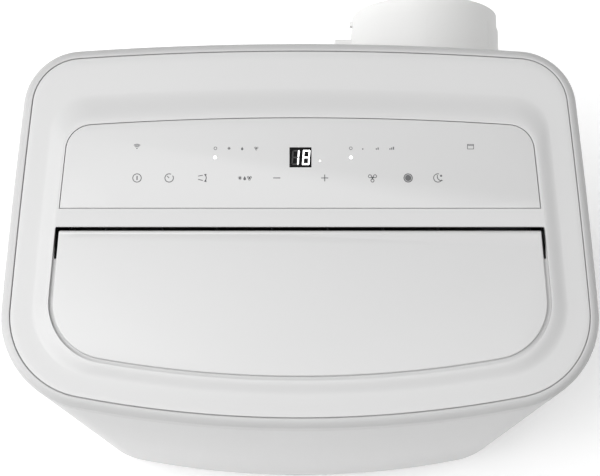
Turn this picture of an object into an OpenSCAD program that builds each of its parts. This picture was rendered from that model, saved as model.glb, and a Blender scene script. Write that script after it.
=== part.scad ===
// Portable air conditioner, single exhaust duct, as an assembly of separate pieces.
// Millimetres, +Z up, front towards -Y. The floor is z = 0 and the origin is under the middle of the
// whole machine, exhaust adapter included.

/* [Body] */
// Width of the shell at its widest
body_w = 505.3; // [490:0.1:530]
// Depth of the shell, front to rear
body_d = 333.2; // [325:0.1:350]
// Height from the floor to the flat middle of the top
body_h = 744; // [740:1:800]
// Wall thickness of the outer shells
wall = 3; // [2.5:0.5:3.5]
// Height of the upper frame that carries the top panel
rim_h = 30.6; // [28:0.2:36]
// Radius of the rounded rim
rim_r = 8; // [6:0.5:8.5]

/* [Top] */
// Height of the middle of the top above its rim
crown = 4; // [3:0.5:6]
// Gap around the outlet flap
flap_gap = 3.3; // [2.5:0.1:4]
// Number of guide vanes under the flap
vanes = 7; // [7]

/* [Exhaust] */
// Outside diameter of the exhaust adapter
duct_d = 150; // [140:1:152]
// How far the adapter stands out behind the shell
duct_out = 108; // [90:1:120]
// Sideways place of the exhaust
duct_x = 127; // [120:1:130]
// Distance of the exhaust axis below the top
duct_drop = 279; // [274:1:284]

/* [Casters] */
// Radius of the caster wheels
wheel_r = 20; // [18:0.5:21]
// Sideways place of the casters
caster_x = 185; // [170:1:190]

/* [Hidden] */

$fn = 64;

// Shell outline in plan: four arcs and four rounded corners, narrower towards the rear.
mid_half_w = body_w / 2 - 4.75;
side_lean = 0.074;
rear_arc_r = 2700;
front_arc_r = 1000;
side_arc_r = 6400;
rear_corner_r = 50.6;
front_corner_r = 78.6;
shell_shift = 1.9;
y_rear = shell_shift + body_d / 2;
y_front = shell_shift - body_d / 2;
plan_y = -(y_front + y_rear + duct_out) / 2;

// Levels
shell_z0 = 61;
rim_z = body_h - crown;
frame_z0 = rim_z - rim_h;
shell_z1 = frame_z0 - 1.2;
tongue_z0 = frame_z0 - 9;
skin = 3;
ledge_z = body_h - 7;
deck_z = ledge_z - 3;
throat_z0 = body_h - 68;
pan_z0 = 54;
pan_floor = 58;
partition_z = body_h - 367;
split_y = 70;
crack = 0.3;

// Top openings, as insets from the shell outline at the rear, side and front
seam_in = 8.7;
open_in = [67.3, 40.25, 39.3];
open_r = [24.5, 52];
bridge_y = [4.8, 20.4];
flap_rear_y = 1.8;
bead_r = 2.5;
flap_t = 5;
hinge_y = -16;
hinge_z = body_h - 22;
hinge_r = 2.5;
sweep_r = 28.4;
bearing_r = 16.2;
fit = 0.08;

// Air outlet
throat_x = [-196, 152];
throat_y = [-92, 13];
frame_x = 199;
bay_x = [155, 196];
vane_pitch = 48;
vane_x0 = -168;
vane_z = throat_z0 + 22;
vane_arm = 10;
vane_pin_r = 1.5;
link_pin_r = 1.2;

// Rear openings
window_x = 178;
upper_win = [body_h - 184, body_h - 50];
lower_win = [112, 350];
duct_z = body_h - duct_drop;
duct_r = duct_d / 2;
collar_r = duct_r + 4;
gland_at = [-175, 100.5];
upper_spout = [-150, 400];
lower_spout = [150, 72];
screw_x = 188;
screw_zs = [130, 362, 548, 690];
cleat_zs = [430, 505];
cleat_x = -60;

// Handles
handle_y = -5;
handle_z = body_h - 144;
handle_l = 116;
handle_h = 40;

// Fans: wheel centre in x and z, depth range in y
upper_fan = [-30, body_h - 224];
upper_fan_y = [-70, 8];
upper_wheel_r = 82;
lower_fan = [60, 220];
lower_fan_y = [20, 100];
lower_wheel_r = 85;

// Casters: axle behind the swivel axis by the trail
trail = 14;
caster_ys = [-100, 105];
caster_pos = [[-caster_x, caster_ys[0]], [caster_x, caster_ys[0]],
              [-caster_x, caster_ys[1]], [caster_x, caster_ys[1]]];
stem_r = 5.5;
axle_r = 2.5;

// ---------- outline functions ----------

function lerp(a, b, t) = a + (b - a) * t;
function heading(c, p) = atan2(p[1] - c[1], p[0] - c[0]);
function polar(c, r, a) = [c[0] + r * cos(a), c[1] + r * sin(a)];
function sweep_arc(c, r, a0, a1, n) = [for (i = [0:n - 1]) polar(c, r, lerp(a0, a1, i / n))];

// Where two circles cross, on the side s of the line between their centres
function crossing(c1, r1, c2, r2, s) =
  let (d = norm(c2 - c1), u = (c2 - c1) / d, x = (r1 * r1 - r2 * r2 + d * d) / (2 * d),
       h = sqrt(r1 * r1 - x * x))
  c1 + u * x + s * h * [-u[1], u[0]];

rear_c = [0, y_rear - rear_arc_r];
front_c = [0, y_front + front_arc_r];
side_n = [1, side_lean] / norm([1, side_lean]);
side_c = [mid_half_w, 0] - side_n * side_arc_r;

// Right half of an outline, rear centre to front centre. ins = insets at rear, side and front,
// rad = radii of the rear and front corners.
function half_outline(ins, rad) =
  let (rr = rear_arc_r - ins[0], rs = side_arc_r - ins[1], rf = front_arc_r - ins[2],
       cr = crossing(rear_c, rr - rad[0], side_c, rs - rad[0], -1),
       cf = crossing(front_c, rf - rad[1], side_c, rs - rad[1], 1))
  concat(
    sweep_arc(rear_c, rr, 90, heading(rear_c, cr), 6),
    sweep_arc(cr, rad[0], heading(rear_c, cr), heading(side_c, cr), 8),
    sweep_arc(side_c, rs, heading(side_c, cr), heading(side_c, cf), 4),
    sweep_arc(cf, rad[1], heading(side_c, cf), heading(front_c, cf), 9),
    sweep_arc(front_c, rf, heading(front_c, cf), -90, 8),
    [[0, y_front + ins[2]]]);

function whole(half) =
  concat(half, [for (i = [len(half) - 2:-1:1]) [-half[i][0], half[i][1]]]);

function outline(ins, rad) = whole(half_outline(ins, rad));
function shell(d) = outline([d, d, d], [rear_corner_r - d, front_corner_r - d]);

// Outlines between the seam (t = 0) and the edge of the opening (t = 1) of the top panel
function crown_outline(t) =
  outline([lerp(seam_in, open_in[0], t), lerp(seam_in, open_in[1], t), lerp(seam_in, open_in[2], t)],
          [lerp(rear_corner_r - seam_in, open_r[0], t), lerp(front_corner_r - seam_in, open_r[1], t)]);
function grown(d) =
  outline([open_in[0] + d, open_in[1] + d, open_in[2] + d], [open_r[0] - d, open_r[1] - d]);
function smooth(t) = t * t * (3 - 2 * t);

// ---------- general modules ----------

module slab(z0, z1, pts) {
  translate([0, 0, z0]) linear_extrude(z1 - z0) polygon(pts);
}

module box(x, y, z) {
  translate([x[0], y[0], z[0]]) cube([x[1] - x[0], y[1] - y[0], z[1] - z[0]]);
}

// Cylinder along Y between two y values, at x and z
module rod_y(x, z, r, y) {
  translate([x, y[0], z]) rotate([-90, 0, 0]) cylinder(r = r, h = y[1] - y[0]);
}

// Cylinder along X between two x values, at y and z
module rod_x(y, z, r, x) {
  translate([x[0], y, z]) rotate([0, 90, 0]) cylinder(r = r, h = x[1] - x[0]);
}

module ring_y(x, z, ro, ri, y) {
  difference() {
    rod_y(x, z, ro, y);
    rod_y(x, z, ri, [y[0] - 1, y[1] + 1]);
  }
}

// Closed ring swept round the outline: each entry of rings is [points, z]
module ring_loft(rings) {
  n = len(rings[0][0]);
  m = len(rings);
  pts = [for (r = rings) for (p = r[0]) [p[0], p[1], r[1]]];
  quads = [for (k = [0:m - 1]) for (i = [0:n - 1])
    [k * n + i, k * n + (i + 1) % n, ((k + 1) % m) * n + (i + 1) % n, ((k + 1) % m) * n + i]];
  tris = [for (q = quads) each [[q[0], q[1], q[2]], [q[0], q[2], q[3]]]];
  polyhedron(pts, tris);
}

module place() {
  translate([0, plan_y, 0]) children();
}

// ---------- top ----------

module top_frame() {
  fillet = [for (a = [0:15:90]) [shell(rim_r * (1 - cos(a))), rim_z - rim_r + rim_r * sin(a)]];
  color("white") ring_loft(concat(
    [[shell(0), frame_z0]], fillet,
    [[shell(rim_r), rim_z - skin - 0.1], [shell(rim_r + 5), rim_z - skin - 0.1],
     [shell(rim_r + 5), rim_z - skin - 3], [shell(wall + 2.5), rim_z - skin - 8],
     [shell(wall + 2.5), tongue_z0], [shell(wall + 0.1), tongue_z0],
     [shell(wall + 0.1), frame_z0]]));
}

// The border is a ring that rises from the seam to the opening; the bridge and the lip round the
// control panel are a flat plate in it.
module top_panel() {
  slope_t = [0.55, 0.64, 0.73, 0.82, 0.91];
  function rise(t) = crown * smooth((t - slope_t[0]) / (1 - slope_t[0]));
  color("white") union() {
    difference() {
      ring_loft(concat(
        [[crown_outline(0), rim_z]],
        [for (t = slope_t) [crown_outline(t), rim_z + rise(t)]],
        [[grown(0), body_h], [grown(0), ledge_z], [grown(7), ledge_z], [grown(7), deck_z],
         [grown(-2.5), deck_z], [grown(-2.5), body_h - skin]],
        [[crown_outline(slope_t[0]), rim_z - skin], [crown_outline(0), rim_z - skin]]));
      for (s = [-1, 1])
        box([s * 201 - 6.5, s * 201 + 6.5], [-22, 14], [deck_z - 1, ledge_z + 1]);
    }
    difference() {
      slab(body_h - skin, body_h, grown(-1));
      intersection() {
        slab(body_h - skin - 1, body_h + 1,
             outline([open_in[0] + 1.1, open_in[1] + 1.4, open_in[2]], [open_r[0] - 1.5, open_r[1]]));
        box([-300, 300], [bridge_y[1], 300], [0, 1000]);
      }
      intersection() {
        slab(body_h - skin - 1, body_h + 1, grown(0));
        box([-300, 300], [-300, bridge_y[0]], [0, 1000]);
      }
    }
    intersection() {
      slab(deck_z, body_h - skin, grown(-1));
      box([-300, 300], [17, 20], [0, 1000]);
    }
  }
}

// Plate of the control panel's shape, d inside its edge
module control_outline(d, z0, z1) {
  intersection() {
    slab(z0, z1, outline([open_in[0] + 1.7 + d, open_in[1] + 2 + d, open_in[2]],
                         [open_r[0] - 2.1 - d, open_r[1]]));
    box([-300, 300], [bridge_y[1] + 0.6 + d, 300], [0, 1000]);
  }
}

board_posts = [[-130, 42], [130, 42], [-130, 84], [130, 84]];

module control_panel() {
  color("whitesmoke") union() {
    control_outline(0, body_h - 2.8, body_h);
    difference() {
      control_outline(0, ledge_z + 0.1, body_h - 2);
      control_outline(2, 0, body_h - 2.8);
    }
    for (p = board_posts)
      translate([p[0], p[1], body_h - 14]) cylinder(r = 3, h = 12);
  }
}

module display_module() {
  color("black") box([-12, 12], [53, 77], [body_h - 14, body_h - 3]);
}

module control_board() {
  color("darkgreen") difference() {
    box([-150, 150], [30, 92], [body_h - 15.8, body_h - 14.2]);
    for (p = board_posts)
      translate([p[0], p[1], body_h - 17]) cylinder(r = 1.6, h = 5);
  }
}

// Space that the rear part of the flap turns through, round the hinge and clear of its bearings
module flap_sweep() {
  difference() {
    rod_x(hinge_y, hinge_z, sweep_r, [-220, 220]);
    rod_x(hinge_y, hinge_z, bearing_r, [-221, 221]);
    box([-221, 221], [-100, hinge_y - 0.5], [0, 1000]);
    box([-221, 221], [-100, 100], [0, hinge_z - 14]);
  }
}

// Deck, throat walls, vane bearings, flap bearings and the motor bay
module outlet_frame() {
  color("dimgray") difference() {
    union() {
      difference() {
        intersection() {
          slab(deck_z - 3, deck_z, grown(2.4));
          box([-300, 300], [-300, throat_y[1] + 3], [0, 1000]);
        }
        for (s = [-1, 1])
          box([s * 205 - 6, s * 205 + 6], [-22, 300], [0, 1000]);
      }
      box([-frame_x, frame_x], [throat_y[0] - 4, throat_y[1] + 3], [throat_z0, deck_z]);
    }
    box(throat_x, throat_y, [throat_z0 - 1, deck_z + 1]);
    box(bay_x, [hinge_y - 18, throat_y[1]], [hinge_z - 17, deck_z + 1]);
    for (i = [0:vanes - 1])
      rod_y(vane_x0 + i * vane_pitch, vane_z, vane_pin_r + fit, [-120, 40]);
    rod_x(hinge_y, hinge_z, hinge_r + fit, [-220, 220]);
    flap_sweep();
  }
}

module flap_lug(x) {
  rod_x(hinge_y, hinge_z, 5.5, [x - 2, x + 2]);
  box([x - 2, x + 2], [hinge_y - 5.5, hinge_y + 5.5], [hinge_z, body_h - flap_t + 0.5]);
}

module flap() {
  lugs = [-192, 148, 191];
  bead_y = flap_rear_y - bead_r;
  bead_half = mid_half_w - open_in[1] - flap_gap - 2.5;
  color("white") difference() {
    union() {
      intersection() {
        slab(body_h - flap_t, body_h, grown(flap_gap));
        box([-300, 300], [-300, bead_y], [0, 1000]);
      }
      rod_x(bead_y, body_h - bead_r, bead_r, [-bead_half, bead_half]);
      for (x = lugs) flap_lug(x);
      rod_x(hinge_y, hinge_z, hinge_r, [-198.5, -192]);
      rod_x(hinge_y, hinge_z, hinge_r, [191, 198.5]);
      for (y = [-95, -65, -35])
        box([-150, 140], [y - 1, y + 1], [body_h - flap_t - 1.5, body_h - flap_t + 0.5]);
    }
    rod_x(hinge_y, hinge_z, 2, [145, 151]);
  }
}

module flap_drive_shaft() {
  color("silver") rod_x(hinge_y, hinge_z, 2, [146, 166]);
}

module flap_motor() {
  color("gray") difference() {
    union() {
      rod_x(hinge_y, hinge_z, 14, [161, 180]);
      box([170, 174], [hinge_y - 15.5, hinge_y + 15.5], [hinge_z - 4, hinge_z + 4]);
      rod_x(hinge_y, hinge_z, 4.5, [158, 161]);
    }
    rod_x(hinge_y, hinge_z, 2 + fit, [157, 167]);
  }
}

// A guide vane: thin blade, two pivot pins and the pin that the link bar drives
module vane(i) {
  x = vane_x0 + i * vane_pitch;
  color("dimgray") union() {
    box([x - 0.8, x + 0.8], [-86, 11], [vane_z - 14, vane_z + 8]);
    rod_y(x, vane_z, vane_pin_r, [-95.5, -85]);
    rod_y(x, vane_z, vane_pin_r, [10, 15.5]);
    rod_y(x, vane_z - vane_arm, link_pin_r, [-91.2, -85]);
    if (i == 3) box([x - 0.8, x + 0.8], [-52, -36], [vane_z + 7, vane_z + 11]);
  }
}

module vane_link() {
  z = vane_z - vane_arm;
  last = vane_x0 + (vanes - 1) * vane_pitch;
  color("gray") difference() {
    box([vane_x0 - 5, last + 5], [-91, -88], [z - 4, z + 4]);
    for (i = [0:vanes - 1])
      box([vane_x0 + i * vane_pitch - 1.6, vane_x0 + i * vane_pitch + 1.6], [-92, -87],
          [z - 1.6, z + 2.6]);
  }
}

// ---------- outer shells ----------

module shell_band(z0, z1) {
  difference() {
    slab(z0, z1, shell(0));
    slab(z0 - 1, z1 + 1, shell(wall));
  }
}

// Local frame on a side wall: x outwards, y along the wall. s = 1 right, -1 left
module on_side(s) {
  mirror([s < 0 ? 1 : 0, 0, 0])
    translate([mid_half_w - side_lean * handle_y, handle_y, handle_z])
      rotate([0, 0, atan(side_lean)]) children();
}

module stadium_x(l, h, x) {
  for (s = [-1, 1])
    translate([x[0], s * (l - h) / 2, 0]) rotate([0, 90, 0]) cylinder(d = h, h = x[1] - x[0]);
  box(x, [-(l - h) / 2, (l - h) / 2], [-h / 2, h / 2]);
}

module front_casing() {
  color("white") difference() {
    intersection() {
      shell_band(shell_z0, shell_z1);
      box([-300, 300], [-300, split_y - crack], [0, 1000]);
    }
    for (s = [-1, 1]) on_side(s) stadium_x(handle_l, handle_h, [-12, 8]);
  }
}

// Block with rounded corners that runs through the rear wall, d inside the edge of a window
module window_block(z, d) {
  r = 8 - d;
  x = window_x - d;
  lo = z[0] + d;
  hi = z[1] - d;
  for (s = [-1, 1]) for (zz = [lo + r, hi - r]) rod_y(s * (x - r), zz, r, [140, 180]);
  box([-x, x], [140, 180], [lo + r, hi - r]);
  box([-x + r, x - r], [140, 180], [lo, hi]);
}

module rear_casing() {
  color("white") difference() {
    intersection() {
      shell_band(shell_z0, shell_z1);
      box([-300, 300], [split_y, 300], [0, 1000]);
    }
    window_block(upper_win, 0);
    window_block(lower_win, 0);
    rod_y(duct_x, duct_z, collar_r, [140, 180]);
    rod_y(gland_at[0], gland_at[1], 8.2, [140, 180]);
    rod_y(upper_spout[0], upper_spout[1], 8.2, [140, 180]);
    rod_y(lower_spout[0], lower_spout[1], 8.2, [140, 180]);
    for (z = screw_zs) for (s = [-1, 1]) rod_y(s * screw_x, z, 2.1, [140, 180]);
    for (z = cleat_zs) rod_y(cleat_x, z, 4.1, [140, 180]);
  }
}

module handle_insert(s) {
  color("gray") on_side(s) difference() {
    union() {
      stadium_x(handle_l - 1, handle_h - 1, [-12, -0.6]);
      box([-27, -9], [-handle_l / 2 + 1, handle_l / 2 - 1], [-handle_h / 2 + 0.5, 36]);
    }
    stadium_x(handle_l - 6, handle_h - 6, [-24.5, 2]);
    box([-24.5, -11.5], [-handle_l / 2 + 3.5, handle_l / 2 - 3.5], [-handle_h / 2 + 3, 33.5]);
  }
}

module base_pan() {
  color("dimgray") difference() {
    union() {
      slab(pan_z0, pan_floor, shell(6));
      difference() {
        slab(pan_floor, 92, shell(6));
        slab(pan_floor - 1, 93, shell(8.5));
      }
      for (p = caster_pos) translate([p[0], p[1], pan_floor - 1]) cylinder(r = 12, h = 23);
      rod_y(lower_spout[0], lower_spout[1], 8, [155, 172]);
    }
    for (p = caster_pos) translate([p[0], p[1], pan_z0 - 1]) cylinder(r = stem_r + fit, h = 22);
    rod_y(lower_spout[0], lower_spout[1], 6, [150, 173]);
  }
}

// ---------- rear grilles and filters ----------

module grille(z, rows, row_h) {
  gap = 0.5;
  cols = [[-166, -60], [-53, 53], [60, 166]];
  color("white") difference() {
    intersection() {
      shell_band(z[0], z[1]);
      window_block(z, gap);
    }
    for (i = [0:rows - 1]) for (c = cols)
      box(c, [130, 200], [z[0] + 11 + i * row_h, z[0] + 11 + i * row_h + row_h - 3.6]);
  }
}

module filter(z) {
  fx = window_x - 6;
  color("gray") union() {
    difference() {
      box([-fx, fx], [147.5, 152.5], [z[0] + 6, z[1] - 6]);
      box([-fx + 5, fx - 5], [140, 160], [z[0] + 11, z[1] - 11]);
    }
    box([-fx + 4, fx - 4], [149.5, 150.5], [z[0] + 10, z[1] - 10]);
    for (x = [-57, 57]) box([x - 2, x + 2], [148.5, 151.5], [z[0] + 10, z[1] - 10]);
    for (x = [-110, 110]) for (zz = [z[0] + 8, z[1] - 8]) rod_y(x, zz, 2.5, [152, 155]);
  }
}

// ---------- exhaust ----------

module exhaust_collar() {
  color("white") difference() {
    union() {
      difference() {
        rod_y(duct_x, duct_z, duct_r + 13, [140, y_rear + 4.5]);
        slab(0, body_h, shell(0));
      }
      rod_y(duct_x, duct_z, collar_r - 0.3, [139.5, y_rear + 4.5]);
    }
    rod_y(duct_x, duct_z, duct_r - 4, [130, y_rear + 10]);
  }
}

module exhaust_adapter() {
  end_r = 3;
  ri = duct_r - end_r;
  y0 = y_rear + 5;
  y1 = y_rear + duct_out;
  profile = concat(
    [[duct_r - 7.6, y_rear - 12], [duct_r - 4.4, y_rear - 12], [duct_r - 4.4, y0], [duct_r + 5, y0],
     [duct_r + 5, y0 + 4], [duct_r, y0 + 4]],
    [for (a = [0:15:90]) [duct_r - end_r + end_r * cos(a), y1 - end_r + end_r * sin(a)]],
    [[ri, y0 + 4], [duct_r - 7.6, y0]]);
  color("white") union() {
    translate([duct_x, 0, duct_z]) rotate([-90, 0, 0]) rotate_extrude($fn = 96) polygon(profile);
    difference() {
      box([duct_x - duct_r - 17, duct_x - duct_r + 3], [y_rear + 58, y_rear + 83],
          [duct_z - 10, duct_z + 10]);
      rod_y(duct_x, duct_z, duct_r - 1, [y_rear, y1]);
    }
    difference() {
      box([duct_x - duct_r - 1.2, duct_x - duct_r + 1], [y1 - 9, y1 - 4.5],
          [duct_z - 4, duct_z + 4]);
      rod_y(duct_x, duct_z, duct_r - 1, [y_rear, y1]);
    }
  }
}

module exhaust_plenum() {
  x = [duct_x - 77, duct_x + 77];
  y = [20, 139];
  z = [partition_z + 3.2, duct_z + 80];
  color("lightgray") difference() {
    box(x, y, z);
    box([x[0] + 3, x[1] - 3], [y[0] + 3, y[1] - 3], [z[0] - 1, z[1] - 3]);
    rod_y(duct_x, duct_z, duct_r - 4, [130, 145]);
  }
}

// ---------- fans ----------

// Spiral scroll in x and z round [0, 0]; the outlet leaves upwards on the right
function scroll(r, grow, top, t) = concat(
  [for (a = [0:12:264]) polar([0, 0], r + grow * (264 - a) / 264 - t, -a)],
  [[-r * 0.1 + t, r * 0.99 - t * 0.2], [-r * 0.1 + t, top], [r + grow - t, top]]);

module volute(c, y, r, grow, top) {
  difference() {
    translate([c[0], y[1], c[1]]) rotate([90, 0, 0])
      linear_extrude(y[1] - y[0]) polygon(scroll(r, grow, top - c[1], 0));
    translate([c[0], y[1] - 2, c[1]]) rotate([90, 0, 0])
      linear_extrude(y[1] - y[0] - 4) polygon(scroll(r, grow, top - c[1] + 1, 2));
    rod_y(c[0], c[1], r * 0.7, [y[1] - 3, y[1] + 1]);
    rod_y(c[0], c[1], 14, [y[0] - 1, y[0] + 3]);
  }
}

module blower(c, y, r) {
  blades = 24;
  color("darkgray") {
    difference() {
      union() {
        rod_y(c[0], c[1], r, [y[0], y[0] + 2]);
        rod_y(c[0], c[1], 12, [y[0], y[0] + 22]);
        ring_y(c[0], c[1], r, r - 10, [y[1] - 3, y[1]]);
        for (i = [0:blades - 1]) translate([c[0], 0, c[1]]) rotate([0, i * 360 / blades, 0])
          translate([r - 11, y[0] + 1, 0]) rotate([0, 35, 0]) cube([11, y[1] - y[0] - 2, 1.4]);
      }
      rod_y(c[0], c[1], 4, [y[0] - 1, y[0] + 30]);
    }
    rod_y(c[0], c[1], 4, [y[0] - 24, y[0] + 24]);
  }
}

module fan_motor(c, y, r) {
  color("silver") difference() {
    union() {
      rod_y(c[0], c[1], r, [y[0] + 8, y[1]]);
      rod_y(c[0], c[1], r * 0.6, y);
    }
    rod_y(c[0], c[1], 4 + fit, [y[1] - 22, y[1] + 1]);
  }
}

module upper_volute() {
  color("lightgray") union() {
    volute(upper_fan, upper_fan_y, 96, 26, body_h - 106);
    box([upper_fan[0] - 40, upper_fan[0] + 30], [-60, 0], [partition_z + 3.2, upper_fan[1] - 100]);
  }
}

module lower_volute() {
  color("lightgray") union() {
    volute(lower_fan, lower_fan_y, 99, 26, partition_z + 3);
    box([lower_fan[0] - 40, lower_fan[0] + 30], [30, 90], [pan_floor, lower_fan[1] - 105]);
  }
}

module discharge_duct() {
  z = [body_h - 105.8, throat_z0 - 0.2];
  x0 = upper_fan[0] - 9.6;
  x1 = upper_fan[0] + 122;
  color("lightgray") difference() {
    hull() {
      box([x0 - 3, x1 + 3], [upper_fan_y[0] - 1, upper_fan_y[1] + 1], [z[0], z[0] + 1]);
      box([throat_x[0] - 2, throat_x[1] + 2], [throat_y[0] - 2, throat_y[1] + 2],
          [z[1] - 1, z[1]]);
    }
    hull() {
      box([x0, x1], [upper_fan_y[0] + 2, upper_fan_y[1] - 2], [z[0] - 1, z[0] + 1]);
      box([throat_x[0] + 1, throat_x[1] - 1], [throat_y[0] + 1, throat_y[1] - 1],
          [z[1] - 1, z[1] + 1]);
    }
  }
}

// ---------- refrigeration ----------

module coil(x, z, rows) {
  y = [122, 140];
  pitch = (z[1] - z[0]) / rows;
  color("silver") box([x[0] + 14, x[1] - 14], y, z);
  color("silver") for (s = [0, 1])
    box([s ? x[1] - 13.8 : x[0] + 12, s ? x[1] - 12 : x[0] + 13.8], [y[0] - 1, y[1] + 1], z);
  color("peru") for (i = [0:rows - 1]) for (s = [0, 1])
    translate([s ? x[1] - 12 : x[0] + 12, (y[0] + y[1]) / 2, z[0] + (i + 0.5) * pitch])
      rotate([0, 0, s ? -90 : 90]) rotate_extrude(angle = 180, $fn = 24)
        translate([5, 0]) circle(r = 3, $fn = 16);
}

module evaporator() {
  coil([-174, 174], [body_h - 184, body_h - 54], 6);
}

module condenser() {
  coil([-178, 178], [62, 352], 12);
}

module drain_tray() {
  z = [upper_win[0] - 13, upper_win[0] - 0.2];
  color("white") union() {
    difference() {
      box([-186, 186], [106, 146.5], z);
      box([-184, 184], [108, 144.5], [z[0] + 2.5, z[1] + 1]);
    }
    difference() {
      union() {
        translate([upper_spout[0], 125, upper_spout[1] - 8])
          cylinder(r = 8, h = z[0] - upper_spout[1] + 8.5);
        rod_y(upper_spout[0], upper_spout[1], 8, [125, 172]);
      }
      rod_y(upper_spout[0], upper_spout[1], 6, [125, 173]);
    }
  }
}

pipe_hole = [-196, 95];

module partition() {
  color("lightgray") difference() {
    slab(partition_z, partition_z + 3, shell(6));
    box([duct_x - 76, duct_x + 76], [18, 141], [0, 1000]);
    box([-30, 60], [18, 141], [0, 1000]);
    translate([pipe_hole[0], pipe_hole[1], 0]) cylinder(r = 10, h = 1000);
    translate([upper_spout[0], 125, 0]) cylinder(r = 12, h = 1000);
  }
}

comp = [-140, -20];

foot_turns = [30, 150, 270];
foot_r = 70;

module at_feet() {
  for (a = foot_turns) translate([comp[0] + foot_r * cos(a), comp[1] + foot_r * sin(a), 0]) children();
}

module compressor() {
  color("dimgray") union() {
    translate([comp[0], comp[1], 82]) cylinder(r = 46, h = 168);
    translate([comp[0], comp[1], 249]) cylinder(r1 = 46, r2 = 26, h = 16, $fn = 48);
    difference() {
      translate([comp[0], comp[1], 76]) cylinder(r = 78, h = 4);
      at_feet() translate([0, 0, 70]) cylinder(r = 4.5, h = 20);
    }
    translate([comp[0], comp[1], 79]) cylinder(r = 40, h = 5);
    translate([comp[0], 52, 120]) cylinder(r = 19, h = 125);
    box([comp[0] - 6, comp[0] + 6], [22, 40], [150, 170]);
  }
}

module compressor_grommets() {
  color("black") at_feet() {
    translate([0, 0, pan_floor]) cylinder(r = 10, h = 17.8);
    translate([0, 0, pan_floor + 17]) cylinder(r = 4, h = 8);
  }
}

// Points of a bend of radius r at b, on the way from a to c
function bend_at(a, b, c, r) =
  let (u = (a - b) / norm(a - b), v = (c - b) / norm(c - b), half = acos(u * v) / 2,
       centre = b + (u + v) / norm(u + v) * r / sin(half), turn = 180 - 2 * half,
       from = b + u * r / tan(half) - centre, to = b + v * r / tan(half) - centre)
  [for (t = [0:0.25:1]) centre + (from * sin((1 - t) * turn) + to * sin(t * turn)) / sin(turn)];

function bent(p, r) =
  concat([p[0]], [for (i = [1:len(p) - 2]) each bend_at(p[i - 1], p[i], p[i + 1], r)], [p[len(p) - 1]]);

// Parallel sides for the rings of a tube, each turned on from the one before
function turned(v, t) = let (w = v - t * (v * t)) w / norm(w);
function sides_along(tangents, i, first) =
  i == 0 ? [turned(first, tangents[0])] :
  let (before = sides_along(tangents, i - 1, first)) concat(before, [turned(before[i - 1], tangents[i])]);

module tube_along(route, r, bend) {
  p = bent(route, bend);
  n = len(p);
  sides = 12;
  tangents = [for (i = [0:n - 1]) let (d = p[min(i + 1, n - 1)] - p[max(i - 1, 0)]) d / norm(d)];
  side = sides_along(tangents, n - 1, [0.3, 0.9, 0.1]);
  rings = [for (i = [0:n - 1]) for (k = [0:sides - 1]) let (a = k * 360 / sides)
    p[i] + r * (side[i] * cos(a) + cross(tangents[i], side[i]) * sin(a))];
  walls = [for (i = [0:n - 2]) for (k = [0:sides - 1])
    let (a = i * sides + k, b = i * sides + (k + 1) % sides)
    each [[a, b, b + sides], [a, b + sides, a + sides]]];
  ends = [[for (k = [0:sides - 1]) sides - 1 - k], [for (k = [0:sides - 1]) (n - 1) * sides + k]];
  polyhedron(rings, concat(walls, ends));
}

discharge_pipe = [[-122, -20, 265.2], [-122, -20, 318], [-205, 60, 318],
                  [-205, 131, 318], [-179.5, 131, 318]];
suction_pipe = [[-140, 52, 245.2], [-140, 52, 345], [pipe_hole[0], pipe_hole[1], 345],
                [pipe_hole[0], pipe_hole[1], 600], [pipe_hole[0], 131, 600], [-176, 131, 600]];

module refrigerant_pipes() {
  color("peru") {
    tube_along(discharge_pipe, 4, 14);
    tube_along(suction_pipe, 5, 12);
  }
}

module control_box() {
  color("lightgray") difference() {
    box([-228, -162], [-60, 30], [partition_z + 3.2, partition_z + 180]);
    box([-226, -164], [-58, 28], [partition_z + 5.2, partition_z + 178]);
    box([-229, -161], [-20, 0], [partition_z + 160, partition_z + 170]);
  }
}

module run_capacitor() {
  color("silver") translate([185, -60, partition_z + 3.2]) {
    cylinder(r = 18, h = 70);
    for (s = [-1, 1]) translate([s * 6, 0, 70]) cylinder(r = 2, h = 9);
  }
}

splash_at = [-90, 92];

module splash_motor() {
  color("gray") difference() {
    union() {
      rod_y(splash_at[0], splash_at[1], 20, [62, 92]);
      box([splash_at[0] - 16, splash_at[0] + 16], [66, 88], [pan_floor, splash_at[1]]);
    }
    rod_y(splash_at[0], splash_at[1], 3 + fit, [76, 93]);
  }
}

module splash_wheel() {
  color("white") union() {
    rod_y(splash_at[0], splash_at[1], 24, [98, 102]);
    rod_y(splash_at[0], splash_at[1], 3, [78, 100]);
    for (i = [0:11]) translate([splash_at[0], 0, splash_at[1]]) rotate([0, i * 30, 0])
      box([22, 31], [96, 104], [-1, 1]);
  }
}

// ---------- casters ----------

module caster_fork(p) {
  color("dimgray") translate([p[0], p[1], 0]) difference() {
    union() {
      translate([0, 0, 45]) cylinder(r = 16, h = 8.7);
      translate([0, 0, 53]) cylinder(r = stem_r, h = 21);
      box([-5, 5], [-8, trail + 6], [26, 46]);
      translate([-5, trail, wheel_r]) rotate([0, 90, 0]) cylinder(r = 8, h = 10);
    }
    translate([-6, trail, wheel_r]) rotate([0, 90, 0]) cylinder(r = axle_r + fit, h = 12);
  }
}

module caster_wheels(p) {
  color("black") translate([p[0], p[1] + trail, wheel_r]) rotate([0, 90, 0]) union() {
    for (s = [-1, 1]) difference() {
      translate([0, 0, s > 0 ? 6 : -18]) cylinder(r = wheel_r, h = 12);
      translate([0, 0, s > 0 ? 15.5 : -18.5]) cylinder(r = wheel_r - 6, h = 3);
    }
    translate([0, 0, -16]) cylinder(r = axle_r, h = 32);
  }
}

// ---------- rear trim ----------

module drain_plug(at) {
  color("gray") union() {
    rod_y(at[0], at[1], 10, [172.1, 176]);
    rod_y(at[0], at[1], 5.6, [160, 173]);
    box([at[0] - 2, at[0] + 2], [175, 184], [at[1] - 8, at[1] + 8]);
  }
}

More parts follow.
